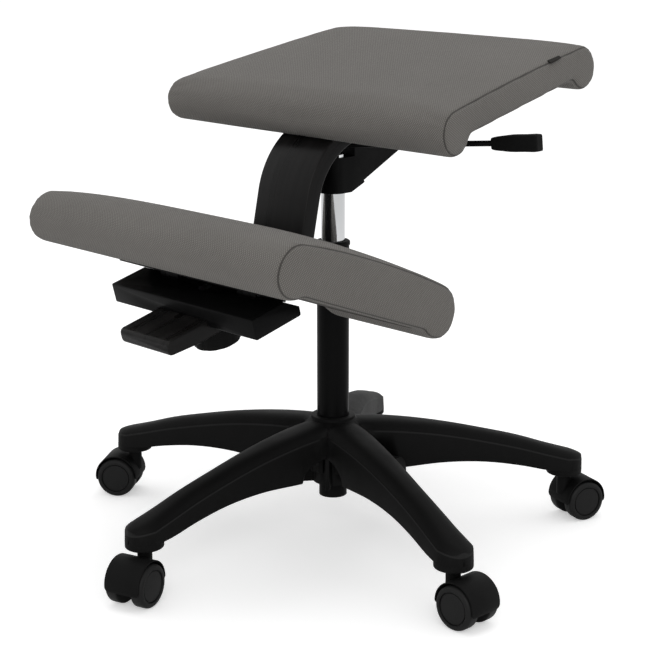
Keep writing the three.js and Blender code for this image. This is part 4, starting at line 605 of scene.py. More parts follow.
# %% Sizes of the pads
PAD_EDGE = 0.005
PAD_DRAW = 0.0015
PAD_LESS = 0.0004
PAD_CAP = 0.0020
VOXEL = 0.0045
SEAT_PAD = {
    "front": -0.0382, "rear": 0.2124, "radius": 0.0254, "height": 0.0084, "underside": 0.0,
    "crown": 0.006, "arch": 0.003, "fullness": 0.45, "front_half": 0.2315, "rear_half": 0.203,
}
KNEE_PAD = {
    "front": -0.082, "rear": 0.144, "radius": 0.0277, "height": 0.0273, "underside": 0.0065,
    "crown": 0.007, "arch": 0.011, "fullness": 0.5, "front_half": 0.215, "rear_half": 0.215,
}


def smaller(pad, less):
    """The same pad with its lips and sides drawn in."""
    trimmed = {key: pad[key] - less for key in ("radius", "front_half", "rear_half")}
    return {**pad, **trimmed}


# %% A pad's side view, width and crown
def pad_outline(pad, lip_steps=18, top_steps=20):
    """The side view (v, w), from where the rear lip meets the underside and over the top."""
    lap = math.asin((pad["height"] - pad["underside"]) / pad["radius"])
    rear = np.linspace(lap - math.pi, math.pi / 2, lip_steps + 1)
    front = np.linspace(math.pi / 2, 2 * math.pi - lap, lip_steps + 1)
    top = np.linspace(pad["rear"], pad["front"], top_steps + 1)[1:-1]
    v = np.concatenate([
        pad["rear"] + pad["radius"] * np.cos(rear), top, pad["front"] + pad["radius"] * np.cos(front),
    ])
    w = pad["height"] + np.concatenate([
        pad["radius"] * np.sin(rear), np.full(len(top), pad["radius"]), pad["radius"] * np.sin(front),
    ])
    return np.column_stack([v, w])


def share_at(pad, v):
    """How far along the pad a place is, from the front lip to the rear lip."""
    return np.clip((v - pad["front"] + pad["radius"]) / (pad["rear"] - pad["front"] + 2 * pad["radius"]), 0, 1)


def half_at(pad, v):
    """Half of the pad's width. The sides pull in a little between their corners."""
    share = share_at(pad, v)
    return pad["front_half"] + (pad["rear_half"] - pad["front_half"]) * share - PAD_DRAW * np.sin(np.pi * share)


def rise_at(pad, x, v, w):
    """How far the crown lifts the upper half of the pad."""
    swell = np.clip(np.sin(np.pi * share_at(pad, v)), 0, 1) ** pad["fullness"]
    spread = np.clip(np.abs(x) / half_at(pad, v), 0, 1)
    return np.where(w > pad["height"], swell * (pad["arch"] + pad["crown"] * (1 - spread ** 4)), 0)


# %% The pad's body
def pad_body(pad, cross_steps=16):
    """The side view carried across, with a round corner at each side panel."""
    outline = pad_outline(pad)
    along = np.roll(outline, -1, axis=0) - np.roll(outline, 1, axis=0)
    out = np.column_stack([along[:, 1], -along[:, 0]]) / np.linalg.norm(along, axis=1)[:, None]
    turns = np.linspace(math.pi / 2, 0, 5)
    edge = [(PAD_EDGE * (1 - math.sin(turn)), PAD_EDGE * (1 - math.cos(turn)), 1.0) for turn in turns]
    cross = [(PAD_EDGE, 0.0, share) for share in np.linspace(1, 0, cross_steps + 1)[1:]]
    one_side = edge + cross
    rings = []
    for side, steps in ((-1, one_side), (1, one_side[-2::-1])):
        for back, inset, share in steps:
            v, w = outline.T
            x = side * (half_at(pad, v) - back) * share
            lift = rise_at(pad, x, v, w)
            ring = np.column_stack([x, v - inset * out[:, 0], w - inset * out[:, 1] + lift])
            rings.append([Vector(point) for point in ring])
    return swept(rings)


# %% Where a point of the pad lies
def nearest_on(line, places, closed=True):
    """The distance from each place to a line of points, and how far along it the nearest point is."""
    start = line if closed else line[:-1]
    run = (np.roll(line, -1, axis=0) - line)[: len(start)]
    length = np.linalg.norm(run, axis=1)
    along = np.concatenate([[0], np.cumsum(length)[:-1]])
    reach = places[:, None] - start[None]
    share = np.clip((reach * run).sum(-1) / length ** 2, 0, 1)
    gap = np.linalg.norm(reach - share[..., None] * run, axis=-1)
    best = gap.argmin(axis=1)
    rows = np.arange(len(places))
    return gap[rows, best], along[best] + share[rows, best] * length[best]


def read_points(mesh):
    """All points of a mesh as one array."""
    points = np.empty(3 * len(mesh.vertices), dtype=np.float32)
    mesh.vertices.foreach_get("co", points)
    return points.reshape(-1, 3).astype(float)


def pad_places(pad, points, notch):
    """For each point: its signed distance from the seam, how far round the pad it is, and notch distance."""
    x, v, w = points.T
    inside = half_at(pad, v) - np.abs(x)
    low = w - rise_at(pad, x, v, w)
    depth, run = nearest_on(pad_outline(pad), np.column_stack([v, low]))
    from_notch = np.full(len(points), 1.0)
    if notch is not None:
        from_notch = nearest_on(notch, points[:, :2], closed=False)[0]
    seam = (np.minimum(inside, from_notch) - depth) / math.sqrt(2)
    return seam, run, from_notch


# %% A UV map for the cloth
def wrap_cloth(mesh, points, seam, run, span):
    """The top panel's map follows the wrap round the lips. The side panels' map is seen from the side."""
    uv = mesh.uv_layers.new(name="surface").data
    for face in mesh.polygons:
        corners = list(face.vertices)
        on_panel = sum(seam[corners]) < 0
        runs = run[corners]
        if runs.max() - runs.min() > span / 2:
            runs = np.where(runs < span / 2, runs + span, runs)
        for loop, corner, place in zip(face.loop_indices, corners, runs):
            x, v, w = points[corner]
            uv[loop].uv = (v + 0.3 * x, w) if on_panel else (x, place)


# %% Blowing a pad up
def puffed(piece, held, cap):
    """Cloth with pressure inside, its seams and flat parts held. No point moves further than the cap."""
    group = piece.vertex_groups.new(name="held")
    group.add([int(index) for index in held], 1.0, "REPLACE")
    modifier = piece.modifiers.new("puff", "CLOTH")
    settings = modifier.settings
    settings.quality = 4
    settings.mass = 0.3
    settings.tension_stiffness = settings.compression_stiffness = 12
    settings.bending_stiffness = 0.6
    settings.use_pressure = True
    settings.uniform_pressure_force = 4
    settings.vertex_group_mass = "held"
    settings.effector_weights.gravity = 0
    modifier.collision_settings.use_collision = False
    modifier.point_cache.frame_start = 1
    modifier.point_cache.frame_end = 20
    for number in range(1, 21):
        bpy.context.scene.frame_set(number)
    before = read_points(piece.data)
    after = read_points(piece.evaluated_get(bpy.context.evaluated_depsgraph_get()).data)
    move = after - before
    size = np.linalg.norm(move, axis=1, keepdims=True) + 1e-12
    after = before + move * (cap * np.tanh(size / cap) / size)
    piece.modifiers.clear()
    piece.vertex_groups.clear()
    piece.data.vertices.foreach_set("co", after.astype(np.float32).ravel())
    piece.data.update()
    bpy.context.scene.frame_set(1)
    print(piece.name, "puffed by up to", round(1000 * float(size.max()), 1), "mm before the cap")


# %% One whole pad
SEAM_DEPTH = 0.0006
SEAM_REACH = 0.0016


def make_pad(pad, name, finish, notch=None, cutters=()):
    """Body, remesh, cloth, subdivision, seams and the cuts underneath, in the pad's own level frame."""
    start = smaller(pad, PAD_LESS)
    piece = make_piece(pad_body(start), name, finish)
    if notch is not None:
        carved(piece, raised(notch, -0.02, 0.1))
    remesh = piece.modifiers.new("remesh", "REMESH")
    remesh.mode = "VOXEL"
    remesh.voxel_size = VOXEL
    settle(piece)
    notch_line = None if notch is None else np.array([tuple(point) for point in notch])
    bm = bmesh.new()
    bm.from_mesh(piece.data)
    seam, run, from_notch = pad_places(start, read_points(piece.data), notch_line)
    bm.verts.ensure_lookup_table()
    near = [bm.verts[i] for i in np.flatnonzero((from_notch < 0.010) & (np.abs(seam) < 0.008))]
    for _ in range(8 if near else 0):
        bmesh.ops.smooth_vert(bm, verts=near, factor=0.5, use_axis_x=True, use_axis_y=True, use_axis_z=True)
    bmesh.ops.smooth_vert(bm, verts=bm.verts, factor=0.5, use_axis_x=True, use_axis_y=True, use_axis_z=True)
    bm.to_mesh(piece.data)
    bm.free()
    points = read_points(piece.data)
    outline = pad_outline(start)
    span = np.linalg.norm(np.roll(outline, -1, axis=0) - outline, axis=1).sum()
    wrap_cloth(piece.data, points, seam, run, span)
    piece.data.attributes.new("seam", "FLOAT", "POINT").data.foreach_set("value", seam.astype(np.float32))
    level = (points[:, 2] < pad["underside"] + 0.0015) & (points[:, 1] > pad["front"]) & (points[:, 1] < pad["rear"])
    held = np.flatnonzero((np.abs(seam) < 0.0025) | level | (from_notch < 0.004))
    puffed(piece, held, PAD_CAP)
    finer = piece.modifiers.new("finer", "SUBSURF")
    finer.levels = finer.render_levels = 1
    settle(piece)
    press_seams(piece.data)
    carved(piece, *cutters)
    mesh = piece.data
    mesh.polygons.foreach_set("use_smooth", [True] * len(mesh.polygons))
    mesh.set_sharp_from_angle(angle=math.radians(62))
    return piece


def press_seams(mesh):
    """Pulls the cloth in along its seams."""
    seam = np.empty(len(mesh.vertices), dtype=np.float32)
    mesh.attributes["seam"].data.foreach_get("value", seam)
    normals = np.empty(3 * len(mesh.vertices), dtype=np.float32)
    mesh.vertex_normals.foreach_get("vector", normals)
    pull = SEAM_DEPTH * np.exp(-((seam / SEAM_REACH) ** 2))
    points = read_points(mesh) - normals.reshape(-1, 3) * pull[:, None]
    mesh.vertices.foreach_set("co", points.astype(np.float32).ravel())
    mesh.update()


# %% [markdown]
# The arm
#
# The arm is one strip of bent and glued veneers, 84 mm wide and 21 mm thick. Its middle line is three
# straight runs with two bends, so the side view gives it all: where two runs would meet, an arc of the
# right radius rounds the corner. The section is carried along that line, and gets thinner at the toe.

# %% The arm's middle line
ARM_HALF = 0.042
ARM_THICKNESS = 0.021
ARM_EDGE = 0.0024
ARM_TOP = -0.0066
TOE_THICKNESS = 0.0175
TOE_TAPER = 0.044
TOE_NOSE = 0.0050


def side_point(place, v, w):
    """A leaning frame's point, seen from the side as (y, z) about the column axis."""
    point = place @ Vector((0, v, w)) - AXIS
    return Vector((point.y, point.z))


def heading(slope):
    return Vector((math.cos(math.radians(slope)), math.sin(math.radians(slope))))


def crossing(first, first_slope, second, second_slope):
    """Where two runs of the side view meet."""
    way, other = heading(first_slope), heading(second_slope)
    cross = lambda a, b: a.x * b.y - a.y * b.x
    return first + way * (cross(second - first, other) / cross(way, other))


middle = -ARM_THICKNESS / 2
seat_run = side_point(seat_frame, 0, ARM_TOP + middle)
rail_run = side_point(rail_frame, 0, middle)
drop = Vector((-0.080, 0.387))
arm_rear = side_point(seat_frame, 0.150, ARM_TOP + middle)
arm_toe = rail_run + heading(RAIL_SLOPE) * ((-0.2845 - rail_run.x) / math.cos(math.radians(RAIL_SLOPE)))
arm_line = rounded([
    arm_rear,
    (*crossing(seat_run, SEAT_SLOPE, drop, 78), 0.090),
    (*crossing(rail_run, RAIL_SLOPE, drop, 78), 0.068),
    arm_toe + heading(RAIL_SLOPE) * TOE_TAPER,
], steps=22)


# %% The arm's sections
def arm_section(point, way, low, high, half, edge):
    """A rounded rectangle across the strip. low and high are measured from the middle line."""
    up = Vector((way.y, -way.x))
    corners = [(-half, high, edge), (half, high, edge), (half, low, edge), (-half, low, edge)]
    return [
        AXIS + Vector((x, point.x + up.x * offset, point.y + up.y * offset))
        for x, offset in rounded(corners, closed=True, steps=4)
    ]


def arm_strip(grow=0.0):
    """The whole strip. grow makes it thicker all round, for cutting room."""
    high = ARM_THICKNESS / 2
    rail_way = -heading(RAIL_SLOPE)
    rings = []
    for index, point in enumerate(arm_line):
        before = arm_line[max(index - 1, 0)]
        after = arm_line[min(index + 1, len(arm_line) - 1)]
        way = (after - before).normalized()
        rings.append(arm_section(point, way, -high - grow, high + grow, ARM_HALF + grow, ARM_EDGE))
    low = high - TOE_THICKNESS
    rings.append(arm_section(arm_toe - rail_way * TOE_NOSE, rail_way, low, high, ARM_HALF + grow, ARM_EDGE))
    for turn in (0.35, 0.6, 0.8, 1.0):
        drawn = TOE_NOSE * (1 - math.cos(turn * math.pi / 2))
        point = arm_toe - rail_way * (TOE_NOSE * (1 - math.sin(turn * math.pi / 2)))
        rings.append(arm_section(
            point, rail_way, low + drawn, high - drawn, ARM_HALF + grow - 0.3 * drawn, ARM_EDGE,
        ))
    return swept(rings)


# %% The arm with its slot and bolt holes
arm = make_piece(arm_strip(), "bent_arm", wood)
slot_plan = rounded([
    (-0.0046, -0.0496, 0.0045), (0.0046, -0.0496, 0.0045), (0.0046, 0.0396, 0.0045), (-0.0046, 0.0396, 0.0045),
], closed=True)
slot_cut = raised(slot_plan, -0.03, 0.01)
slot_cut.transform(rail_frame)
arm_holes = []
for v in (0.042, 0.102):
    hole = bar(0.0045, (0, v, -0.04), (0, v, 0.005), 24)
    hole.transform(seat_frame)
    arm_holes.append(hole)
carved(arm, slot_cut, *arm_holes)
arm.data.polygons.foreach_set("use_smooth", [True] * len(arm.data.polygons))
arm.data.set_sharp_from_angle(angle=math.radians(40))
stand_for(arm, "black_stained_wood", "arm")

# %% [markdown]
# Fitting the cushions
#
# The seat's front lip is pressed up where it lies across the arm, and both boards sit in a shallow pocket
# under the foam. The knee pad has a deep notch in its rear edge for the arm.

# %% Pockets and the notch
BOARD_INSET = 0.013
COVER_THICKNESS = 0.0012
SLIT = 0.0003


def pocket(pad, board_thickness, bay=None):
    """The room for the board and the cover in a pad's underside. It stays away from the notch by a bay."""
    reach = math.sqrt(pad["radius"] ** 2 - (pad["height"] - pad["underside"]) ** 2)
    front, rear = pad["front"] + reach + 0.0018, pad["rear"] - reach - 0.0018
    sides = [float(half_at(pad, v)) - BOARD_INSET + SLIT for v in (front, rear)]
    corners = [(-sides[0], front, 0.010), (sides[0], front, 0.010), (sides[1], rear, 0.010)]
    if bay is not None:
        half, end = bay
        corners += [(half, rear, 0.004), (half, end, 0.026), (-half, end, 0.026), (-half, rear, 0.004)]
    corners.append((-sides[1], rear, 0.010))
    top = pad["underside"] + COVER_THICKNESS + board_thickness + 2 * SLIT
    return raised(rounded(corners, closed=True), pad["underside"] - 0.006, top)


NOTCH_HALF = 0.050
NOTCH_FRONT = 0.030
notch_rear = KNEE_PAD["rear"] + KNEE_PAD["radius"] + 0.004
knee_notch = rounded([
    (NOTCH_HALF + 0.036, notch_rear), (NOTCH_HALF, notch_rear, 0.0359), (NOTCH_HALF, NOTCH_FRONT, 0.026),
    (-NOTCH_HALF, NOTCH_FRONT, 0.026), (-NOTCH_HALF, notch_rear, 0.0359), (-NOTCH_HALF - 0.036, notch_rear),
], steps=8)

# %% The seat cushion
arm_room = arm_strip(0.001)
arm_room.transform(seat_frame.inverted())
seat_pad = make_pad(SEAT_PAD, "seat_pad", weave_cloth, cutters=[pocket(SEAT_PAD, 0.012), arm_room])
seat_pad.data.transform(seat_frame)
stand_for(seat_pad, "grey_weave", "seat_cushion")

# %% A plain tab in the seat's seam
TAB_MIDDLE = 0.155
tab_edge = float(half_at(SEAT_PAD, TAB_MIDDLE))
tab_top = SEAT_PAD["height"] + SEAT_PAD["radius"] + float(rise_at(SEAT_PAD, tab_edge, TAB_MIDDLE, 1.0))
tab_plan = [(-0.0104, -0.0030), (0.0104, -0.0030), (0.0104, 0.0030), (-0.0100, 0.0014)]
tab = eased(raised(tab_plan, -0.0008, 0.0008), 0.0004)
tab_uv = tab.loops.layers.uv.new("surface")
for face in tab.faces:
    for loop in face.loops:
        loop[tab_uv].uv = loop.vert.co.xy
tab_place = (
    Matrix.Translation((tab_edge - 0.0012, TAB_MIDDLE, tab_top - 0.0014))
    @ Matrix.Rotation(math.radians(25), 4, "Y") @ Matrix.Rotation(math.radians(-90), 4, "Z")
)
seam_tab = make_piece(tab, "seam_tab", thread, seat_frame @ tab_place, sharp=50)
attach(seam_tab, home["seat_cushion"])

# %% The knee cushion
board_gap = BOARD_INSET - SLIT
knee_pocket = pocket(KNEE_PAD, 0.009, bay=(NOTCH_HALF + board_gap, NOTCH_FRONT - board_gap))
knee_pad = make_pad(KNEE_PAD, "knee_pad", weave_cloth, notch=knee_notch, cutters=[knee_pocket])
knee_pad.data.transform(knee_frame)
stand_for(knee_pad, "grey_weave", "knee_cushion")

# %% [markdown]
# The covers underneath
#
# A plain dark cloth is stapled over each board. Its hem is turned in, which shows as a low rim.

# %% Bottom covers
def bottom_cover(node, name, place, *boards):
    """A copy of the cover with a hem, and a flat UV map in metres."""
    bm = copied(node)
    level = place.inverted()
    bm.transform(level)
    low = min(vert.co.z for vert in bm.verts)
    under = [face for face in bm.faces if all(vert.co.z < low + 1e-5 for vert in face.verts)]
    bmesh.ops.inset_region(bm, faces=under, thickness=0.006, depth=0.0)
    bmesh.ops.inset_region(bm, faces=under, thickness=0.0006, depth=-0.0004)
    uv = bm.loops.layers.uv.new("surface")
    for face in bm.faces:
        for loop in face.loops:
            loop[uv].uv = (loop.vert.co.x, loop.vert.co.y)
    area = sum(face.calc_area() for face in bm.faces if face.normal.z < -0.5)
    piece = make_piece(bm, name, under_cloth, place, sharp=50)
    stand_for(piece, "grey_underside_cloth", node)
    return piece


bottom_cover("seat_bottom_cover", "seat_under_cloth", seat_frame, "seat_board")
bottom_cover("knee_bottom_cover", "knee_under_cloth", knee_frame, "knee_board")

# %% [markdown]
# The star base
#
# The base is one moulding: five hollow legs with a rounded top, a crease along each side, and a hub. One
# leg is carried through its sections from the hub to the tip, with the sizes read from a smooth curve
# through a few stations. The five legs are turned copies, and booleans join them to the hub, because a
# moulding has no hidden faces inside.

# %% Sizes of a leg at its stations, in millimetres
MM = 0.001
LEG_STATIONS = np.array([
    # reach, half width, crease height, underside height, crown
    (0.0, 27.0, 136.0, 82.0, 10.5),
    (46.9, 27.0, 134.7, 83.3, 10.5),
    (87.9, 24.6, 130.8, 85.9, 10.5),
    (134.8, 22.0, 123.5, 88.5, 10.5),
    (187.5, 20.3, 112.1, 86.0, 10.5),
    (237.3, 20.3, 99.6, 77.8, 10.3),
    (269.6, 21.1, 90.2, 70.5, 9.0),
    (293.0, 22.2, 84.0, 68.0, 8.0),
])
CASTOR_CIRCLE = 0.293
TIP_HALF = 0.022
LEG_WALL = 0.004
LEG_DRAFT = 0.0016


def smooth_between(stations, values, places):
    """A smooth curve through the stations, read at any places."""
    slopes = np.gradient(values, stations)
    index = np.clip(np.searchsorted(stations, places) - 1, 0, len(stations) - 2)
    span = stations[index + 1] - stations[index]
    t = (places - stations[index]) / span
    start = (2 * t ** 3 - 3 * t ** 2 + 1) * values[index] + (t ** 3 - 2 * t ** 2 + t) * span * slopes[index]
    end = (3 * t ** 2 - 2 * t ** 3) * values[index + 1] + (t ** 3 - t ** 2) * span * slopes[index + 1]
    return start + end


# %% One leg
DOME = (-1, -0.95, -0.86, -0.72, -0.54, -0.32, -0.11, 0.11, 0.32, 0.54, 0.72, 0.86, 0.95, 1)


def leg_ring(reach, half, crease, underside, crown):
    """The section of a hollow leg: outside, then back along the inside."""
    inner = max(half - LEG_WALL, 0.00005 + LEG_DRAFT / 2)
    dome = [(share * (half - LEG_DRAFT), crease + crown * (1 - abs(share) ** 3.2)) for share in DOME]
    ring = [
        (-half, underside), (-half + LEG_DRAFT / 2, crease), *dome, (half - LEG_DRAFT / 2, crease),
        (half, underside), (inner, underside), (inner - LEG_DRAFT / 2, crease - LEG_WALL),
        (-inner + LEG_DRAFT / 2, crease - LEG_WALL), (-inner, underside),
    ]
    return [Vector((reach, y, z)) for y, z in ring]


def star_leg():
    """A leg along +X, with its tip turned round the castor's axis."""
    table = LEG_STATIONS.T * MM
    places = np.linspace(0, table[0][-1], 26)
    sizes = [smooth_between(table[0], values, places) for values in table[1:]]
    rings = [leg_ring(*row) for row in zip(places, *sizes)]
    for turn, crown in zip(np.radians((16, 32, 48, 62, 74, 83)), (6.6, 5.8, 5.4, 5.1, 4.6, 3.8)):
        rings.append(leg_ring(
            CASTOR_CIRCLE + TIP_HALF * math.sin(turn), TIP_HALF * math.cos(turn),
            0.084 - 0.005 * math.sin(turn) ** 2, 0.068, crown * MM,
        ))
    return eased(swept(rings), 0.0007, least=24, segments=2)


# %% The whole star
def box_between(low, high, edge=0.0):
    """A block between two corners, its edges rounded if asked."""
    bm = bmesh.new()
    bmesh.ops.create_cube(bm, size=1)
    low, high = Vector(low), Vector(high)
    bm.transform(Matrix.Translation((low + high) / 2) @ Matrix.Diagonal((*(high - low), 1)))
    return eased(bm, edge) if edge else bm


def welded(piece, *others):
    """Joins closed bodies into one skin."""
    for other in others:
        tool = make_piece(other, "tool", piece.data.materials[0])
        modifier = piece.modifiers.new("weld", "BOOLEAN")
        modifier.operation = "UNION"
        modifier.solver = "EXACT"
        modifier.object = tool
        settle(piece)
        bpy.data.objects.remove(tool)
    return piece


hub = spun(rounded([
    (0, 0.066), (0.0245, 0.066), (0.0245, 0.123), (0.040, 0.127), (0.044, 0.131, 0.0015),
    (0.034, 0.1425, 0.006), (0.0268, 0.1471, 0.0006), (0.0268, 0.1505, 0.0012), (0, 0.1505),
]), 96)
star = make_piece(hub, "castor_star", nylon)
leg_turns = [Matrix.Rotation(math.radians(-90 + 72 * index), 4, "Z") for index in range(5)]
gap_turns = [turn @ Matrix.Rotation(math.radians(36), 4, "Z") for turn in leg_turns]
for turn in leg_turns:
    leg = star_leg()
    leg.transform(turn)
    boss = spun(rounded([
        (0, 0.0607), (TIP_HALF, 0.0607, 0.002), (TIP_HALF, 0.0686), (TIP_HALF - 0.003, 0.0702),
        (TIP_HALF - 0.003, 0.080), (0, 0.082),
    ]), 64)
    boss.transform(turn @ Matrix.Translation((CASTOR_CIRCLE, 0, 0)))
    welded(star, leg, boss)
arches = []
for turn in gap_turns:
    arches.append(bar(0.024, (0.0285, 0, 0.084), (0.088, 0, 0.084), 40))
    arches[-1].transform(turn)
carved(star, *arches)
for turn in gap_turns:
    rib = box_between((0.018, -0.0027, 0.066), (0.041, 0.0027, 0.127), 0.0008)
    rib.transform(turn)
    welded(star, rib)
print("star faces", len(star.data.polygons))

# %% Where the crease runs
# The black finishes use this distance to paint a highlight along the crease.
def mark_crease(mesh):
    """Stores 1 plus the distance from the crease, so that 1 is on it and pieces without it read 0."""
    table = LEG_STATIONS.T * MM
    points = read_points(mesh)
    marks = np.full(len(points), 2.0)
    for turn in leg_turns:
        along, across, up = (points @ np.array(turn.to_3x3())).T
        reach = np.clip(along, 0, CASTOR_CIRCLE)
        past = np.clip(along - CASTOR_CIRCLE, 0, TIP_HALF)
        height = smooth_between(table[0], table[2], reach) - 0.005 * (past / TIP_HALF) ** 2
        half = smooth_between(table[0], table[1], reach)
        in_from_side = np.where(past > 0, TIP_HALF - np.hypot(past, across), half - np.abs(across))
        distance = np.where(up < height - 0.0002, up - height, in_from_side)
        here = (along > 0.038) & (np.abs(across) < half + 0.001)
        marks[here] = 1 + distance[here]
    mesh.attributes.new("crease", "FLOAT", "POINT").data.foreach_set("value", marks.astype(np.float32))


# %% Ribs in the hollow of each leg, the bore and the sockets
ribs = []
for turn in leg_turns:
    table = LEG_STATIONS.T * MM
    for station in LEG_STATIONS[2:6] * MM:
        reach, half, crease, underside, crown = station
        rib = box_between(
            (reach - 0.0013, 0.002 - half, underside + 0.004), (reach + 0.0013, half - 0.002, crease - 0.002),
        )
        rib.transform(turn)
        ribs.append(rib)
welded(star, *ribs)
bore = spun([(0, 0.060), (0.01756, 0.060), (0.01756, 0.066), (0.0196, 0.1505), (0.0196, 0.156), (0, 0.156)], 96)
sockets = [bar(0.0054, (0, 0, 0.055), (0, 0, 0.0793), 24) for turn in leg_turns]
for turn, socket in zip(leg_turns, sockets):
    socket.transform(turn @ Matrix.Translation((CASTOR_CIRCLE, 0, 0)))
carved(star, bore, *sockets)
mark_crease(star.data)
star.data.transform(Matrix.Translation(AXIS))
star.data.polygons.foreach_set("use_smooth", [True] * len(star.data.polygons))
star.data.set_sharp_from_angle(angle=math.radians(30))
stand_for(star, "black_nylon", "star_base")

# %% [markdown]
# Castors
#
# Each castor is a twin wheel under a hood. The hood is a thin cylindrical fender, which is easiest to
# draw flat, with its rounded corners, and then bend round the wheels. A web between the wheels and a
# round neck complete it. The wheels are turned.

# %% Castor sizes
TRAIL = 0.0206
YAW = 18
WHEEL_RADIUS = 0.025
HOOD_INNER = 0.0259
HOOD_WALL = 0.0015
HOOD_HALF = 0.0225
HOOD_LIFT = 0.0018
WEB_HALF = 0.009
HOOD_ARC = (math.radians(-14), math.radians(188))
at_axle = Matrix.Translation((TRAIL, 0, WHEEL_RADIUS))
at_hood = Matrix.Translation((TRAIL, 0, WHEEL_RADIUS + HOOD_LIFT))


# %% The hood
def fender():
    """A flat sheet with rounded corners, bent round the wheels."""
    start, end = (angle * HOOD_INNER for angle in HOOD_ARC)
    plan = [(start, -HOOD_HALF, 0.005), (end, -HOOD_HALF, 0.005), (end, HOOD_HALF, 0.005), (start, HOOD_HALF, 0.005)]
    bm = eased(raised(rounded(plan, closed=True, steps=6), 0, HOOD_WALL), 0.0005, least=60, segments=2)
    for step in range(1, 48):
        place = start + (end - start) * step / 48
        bmesh.ops.bisect_plane(
            bm, geom=bm.verts[:] + bm.edges[:] + bm.faces[:], dist=1e-6,
            plane_co=(place, 0, 0), plane_no=(1, 0, 0),
        )
    for vert in bm.verts:
        angle, radius = vert.co.x / HOOD_INNER, HOOD_INNER + vert.co.z
        vert.co = (radius * math.cos(angle), vert.co.y, radius * math.sin(angle))
    bmesh.ops.recalc_face_normals(bm, faces=bm.faces)
    bm.transform(at_hood)
    return bm


def hood_web():
    """The wall between the two wheels, in the side view of the hood."""
    radius = HOOD_INNER + HOOD_WALL / 2
    angles = np.linspace(*HOOD_ARC, 56)
    plan = [(radius * math.cos(angle), radius * math.sin(angle)) for angle in angles]
    bm = raised(plan, -WEB_HALF, WEB_HALF)
    bm.transform(at_hood @ Matrix.Rotation(math.radians(90), 4, "X"))
    return bm


def castor_hood(place, number):
    """One hood on its castor's axis."""
    hood = make_piece(fender(), f"hood_{number}", nylon)
    axle_boss = bar(0.008, (TRAIL, -WEB_HALF, WHEEL_RADIUS), (TRAIL, WEB_HALF, WHEEL_RADIUS), 40)
    neck = bar(0.0084, (0, 0, 0.033), (0, 0, 0.0602), 48, edge=0.0008)
    welded(hood, hood_web(), axle_boss, neck)
    stem_bore = bar(0.0055, (0, 0, 0.044), (0, 0, 0.065), 32)
    head_bore = bar(0.0071, (0, 0, 0.0436), (0, 0, 0.0494), 32)
    axle_bore = bar(0.0034, (TRAIL, -0.0226, WHEEL_RADIUS), (TRAIL, 0.0226, WHEEL_RADIUS), 24)
    carved(hood, stem_bore, head_bore, axle_bore)
    hood.data.transform(place)
    hood.data.polygons.foreach_set("use_smooth", [True] * len(hood.data.polygons))
    hood.data.set_sharp_from_angle(angle=math.radians(34))
    return stand_for(hood, "black_nylon", f"castor_hood_{number}")


# %% The wheels
def castor_wheel(place, number, letter, side):
    """A wheel with a round tread, a ring step and a flat disc outside."""
    bm = spun(rounded([
        (0, 0.02125), (0.0034, 0.02125), (0.0034, 0.00935), (0.025, 0.00935, 0.0018), (0.025, 0.02455, 0.0042),
        (0.0188, 0.02455, 0.0004), (0.0184, 0.0222), (0.0175, 0.0222), (0.0172, 0.0237, 0.0003), (0, 0.0238),
    ]), 80)
    turn = Matrix.Rotation(math.radians(-90 * side), 4, "X")
    piece = make_piece(bm, f"wheel_{number}_{letter}", tyre, place @ at_axle @ turn, sharp=36)
    return stand_for(piece, "dark_tread", f"castor_wheel_{number}_{letter}")


for number in range(1, 6):
    angle = math.radians(-90 + 72 * (number - 1))
    spot = AXIS + CASTOR_CIRCLE * Vector((math.cos(angle), math.sin(angle), 0))
    place = Matrix.Translation(spot) @ Matrix.Rotation(angle + math.radians(YAW), 4, "Z")
    castor_hood(place, number)
    castor_wheel(place, number, "a", 1)
    castor_wheel(place, number, "b", -1)

# %% [markdown]
# The column
#
# Tube, bush and gas cylinder are turned parts, so each is a profile spun about the column axis. Small
# round edges catch the light where the real ones are broken.

# %% Tube, bush and cylinder
on_axis = Matrix.Translation(AXIS)
tube = spun(rounded([
    (0.017, 0.048, 0.0004), (0.017, 0.064), (0.0193, 0.1505), (0.0193, 0.3605, 0.0005), (0.0169, 0.3605),
    (0.0169, 0.1505), (0.0146, 0.064), (0.0146, 0.057), (0.0054, 0.057), (0.0054, 0.053), (0.0146, 0.053),
    (0.0146, 0.048), (0.017, 0.048),
]), 96)
stand_for(make_piece(tube, "outer_tube", paint, on_axis), "black_paint", "column_tube")

bush = spun(rounded([
    (0.0145, 0.2985), (0.0166, 0.2985), (0.0166, 0.3608), (0.0204, 0.3608, 0.0006), (0.0204, 0.3663, 0.0022),
    (0.0145, 0.3663, 0.0008), (0.0145, 0.2985),
]), 96)
stand_for(make_piece(bush, "bush", nylon, on_axis), "black_nylon", "guide_bush")

cylinder = spun(rounded([
    (0.0054, 0.172), (0.014, 0.172, 0.0015), (0.014, 0.470, 0.0015), (0.0044, 0.470), (0.0044, 0.446),
    (0.011, 0.446), (0.011, 0.196), (0.0054, 0.196), (0.0054, 0.172),
]), 128)
stand_for(make_piece(cylinder, "spring_cylinder", chrome, on_axis), "chrome", "gas_cylinder")

# %% [markdown]
# Bracket, lever and carriage
#
# The bracket under the arm is a slab drawn from the side whose nose is round in plan, so two outlines
# are crossed. The lever is a bar with a flared grip. The carriage and the tilt bracket are castings with
# many cuts, so they start as merged copies of their CAD nodes, and every hard edge is eased.

# %% The column bracket
def bracket_top(y):
    """The height of the arm's underside at a place along the side view."""
    return 0.48873 + 0.20345 * y


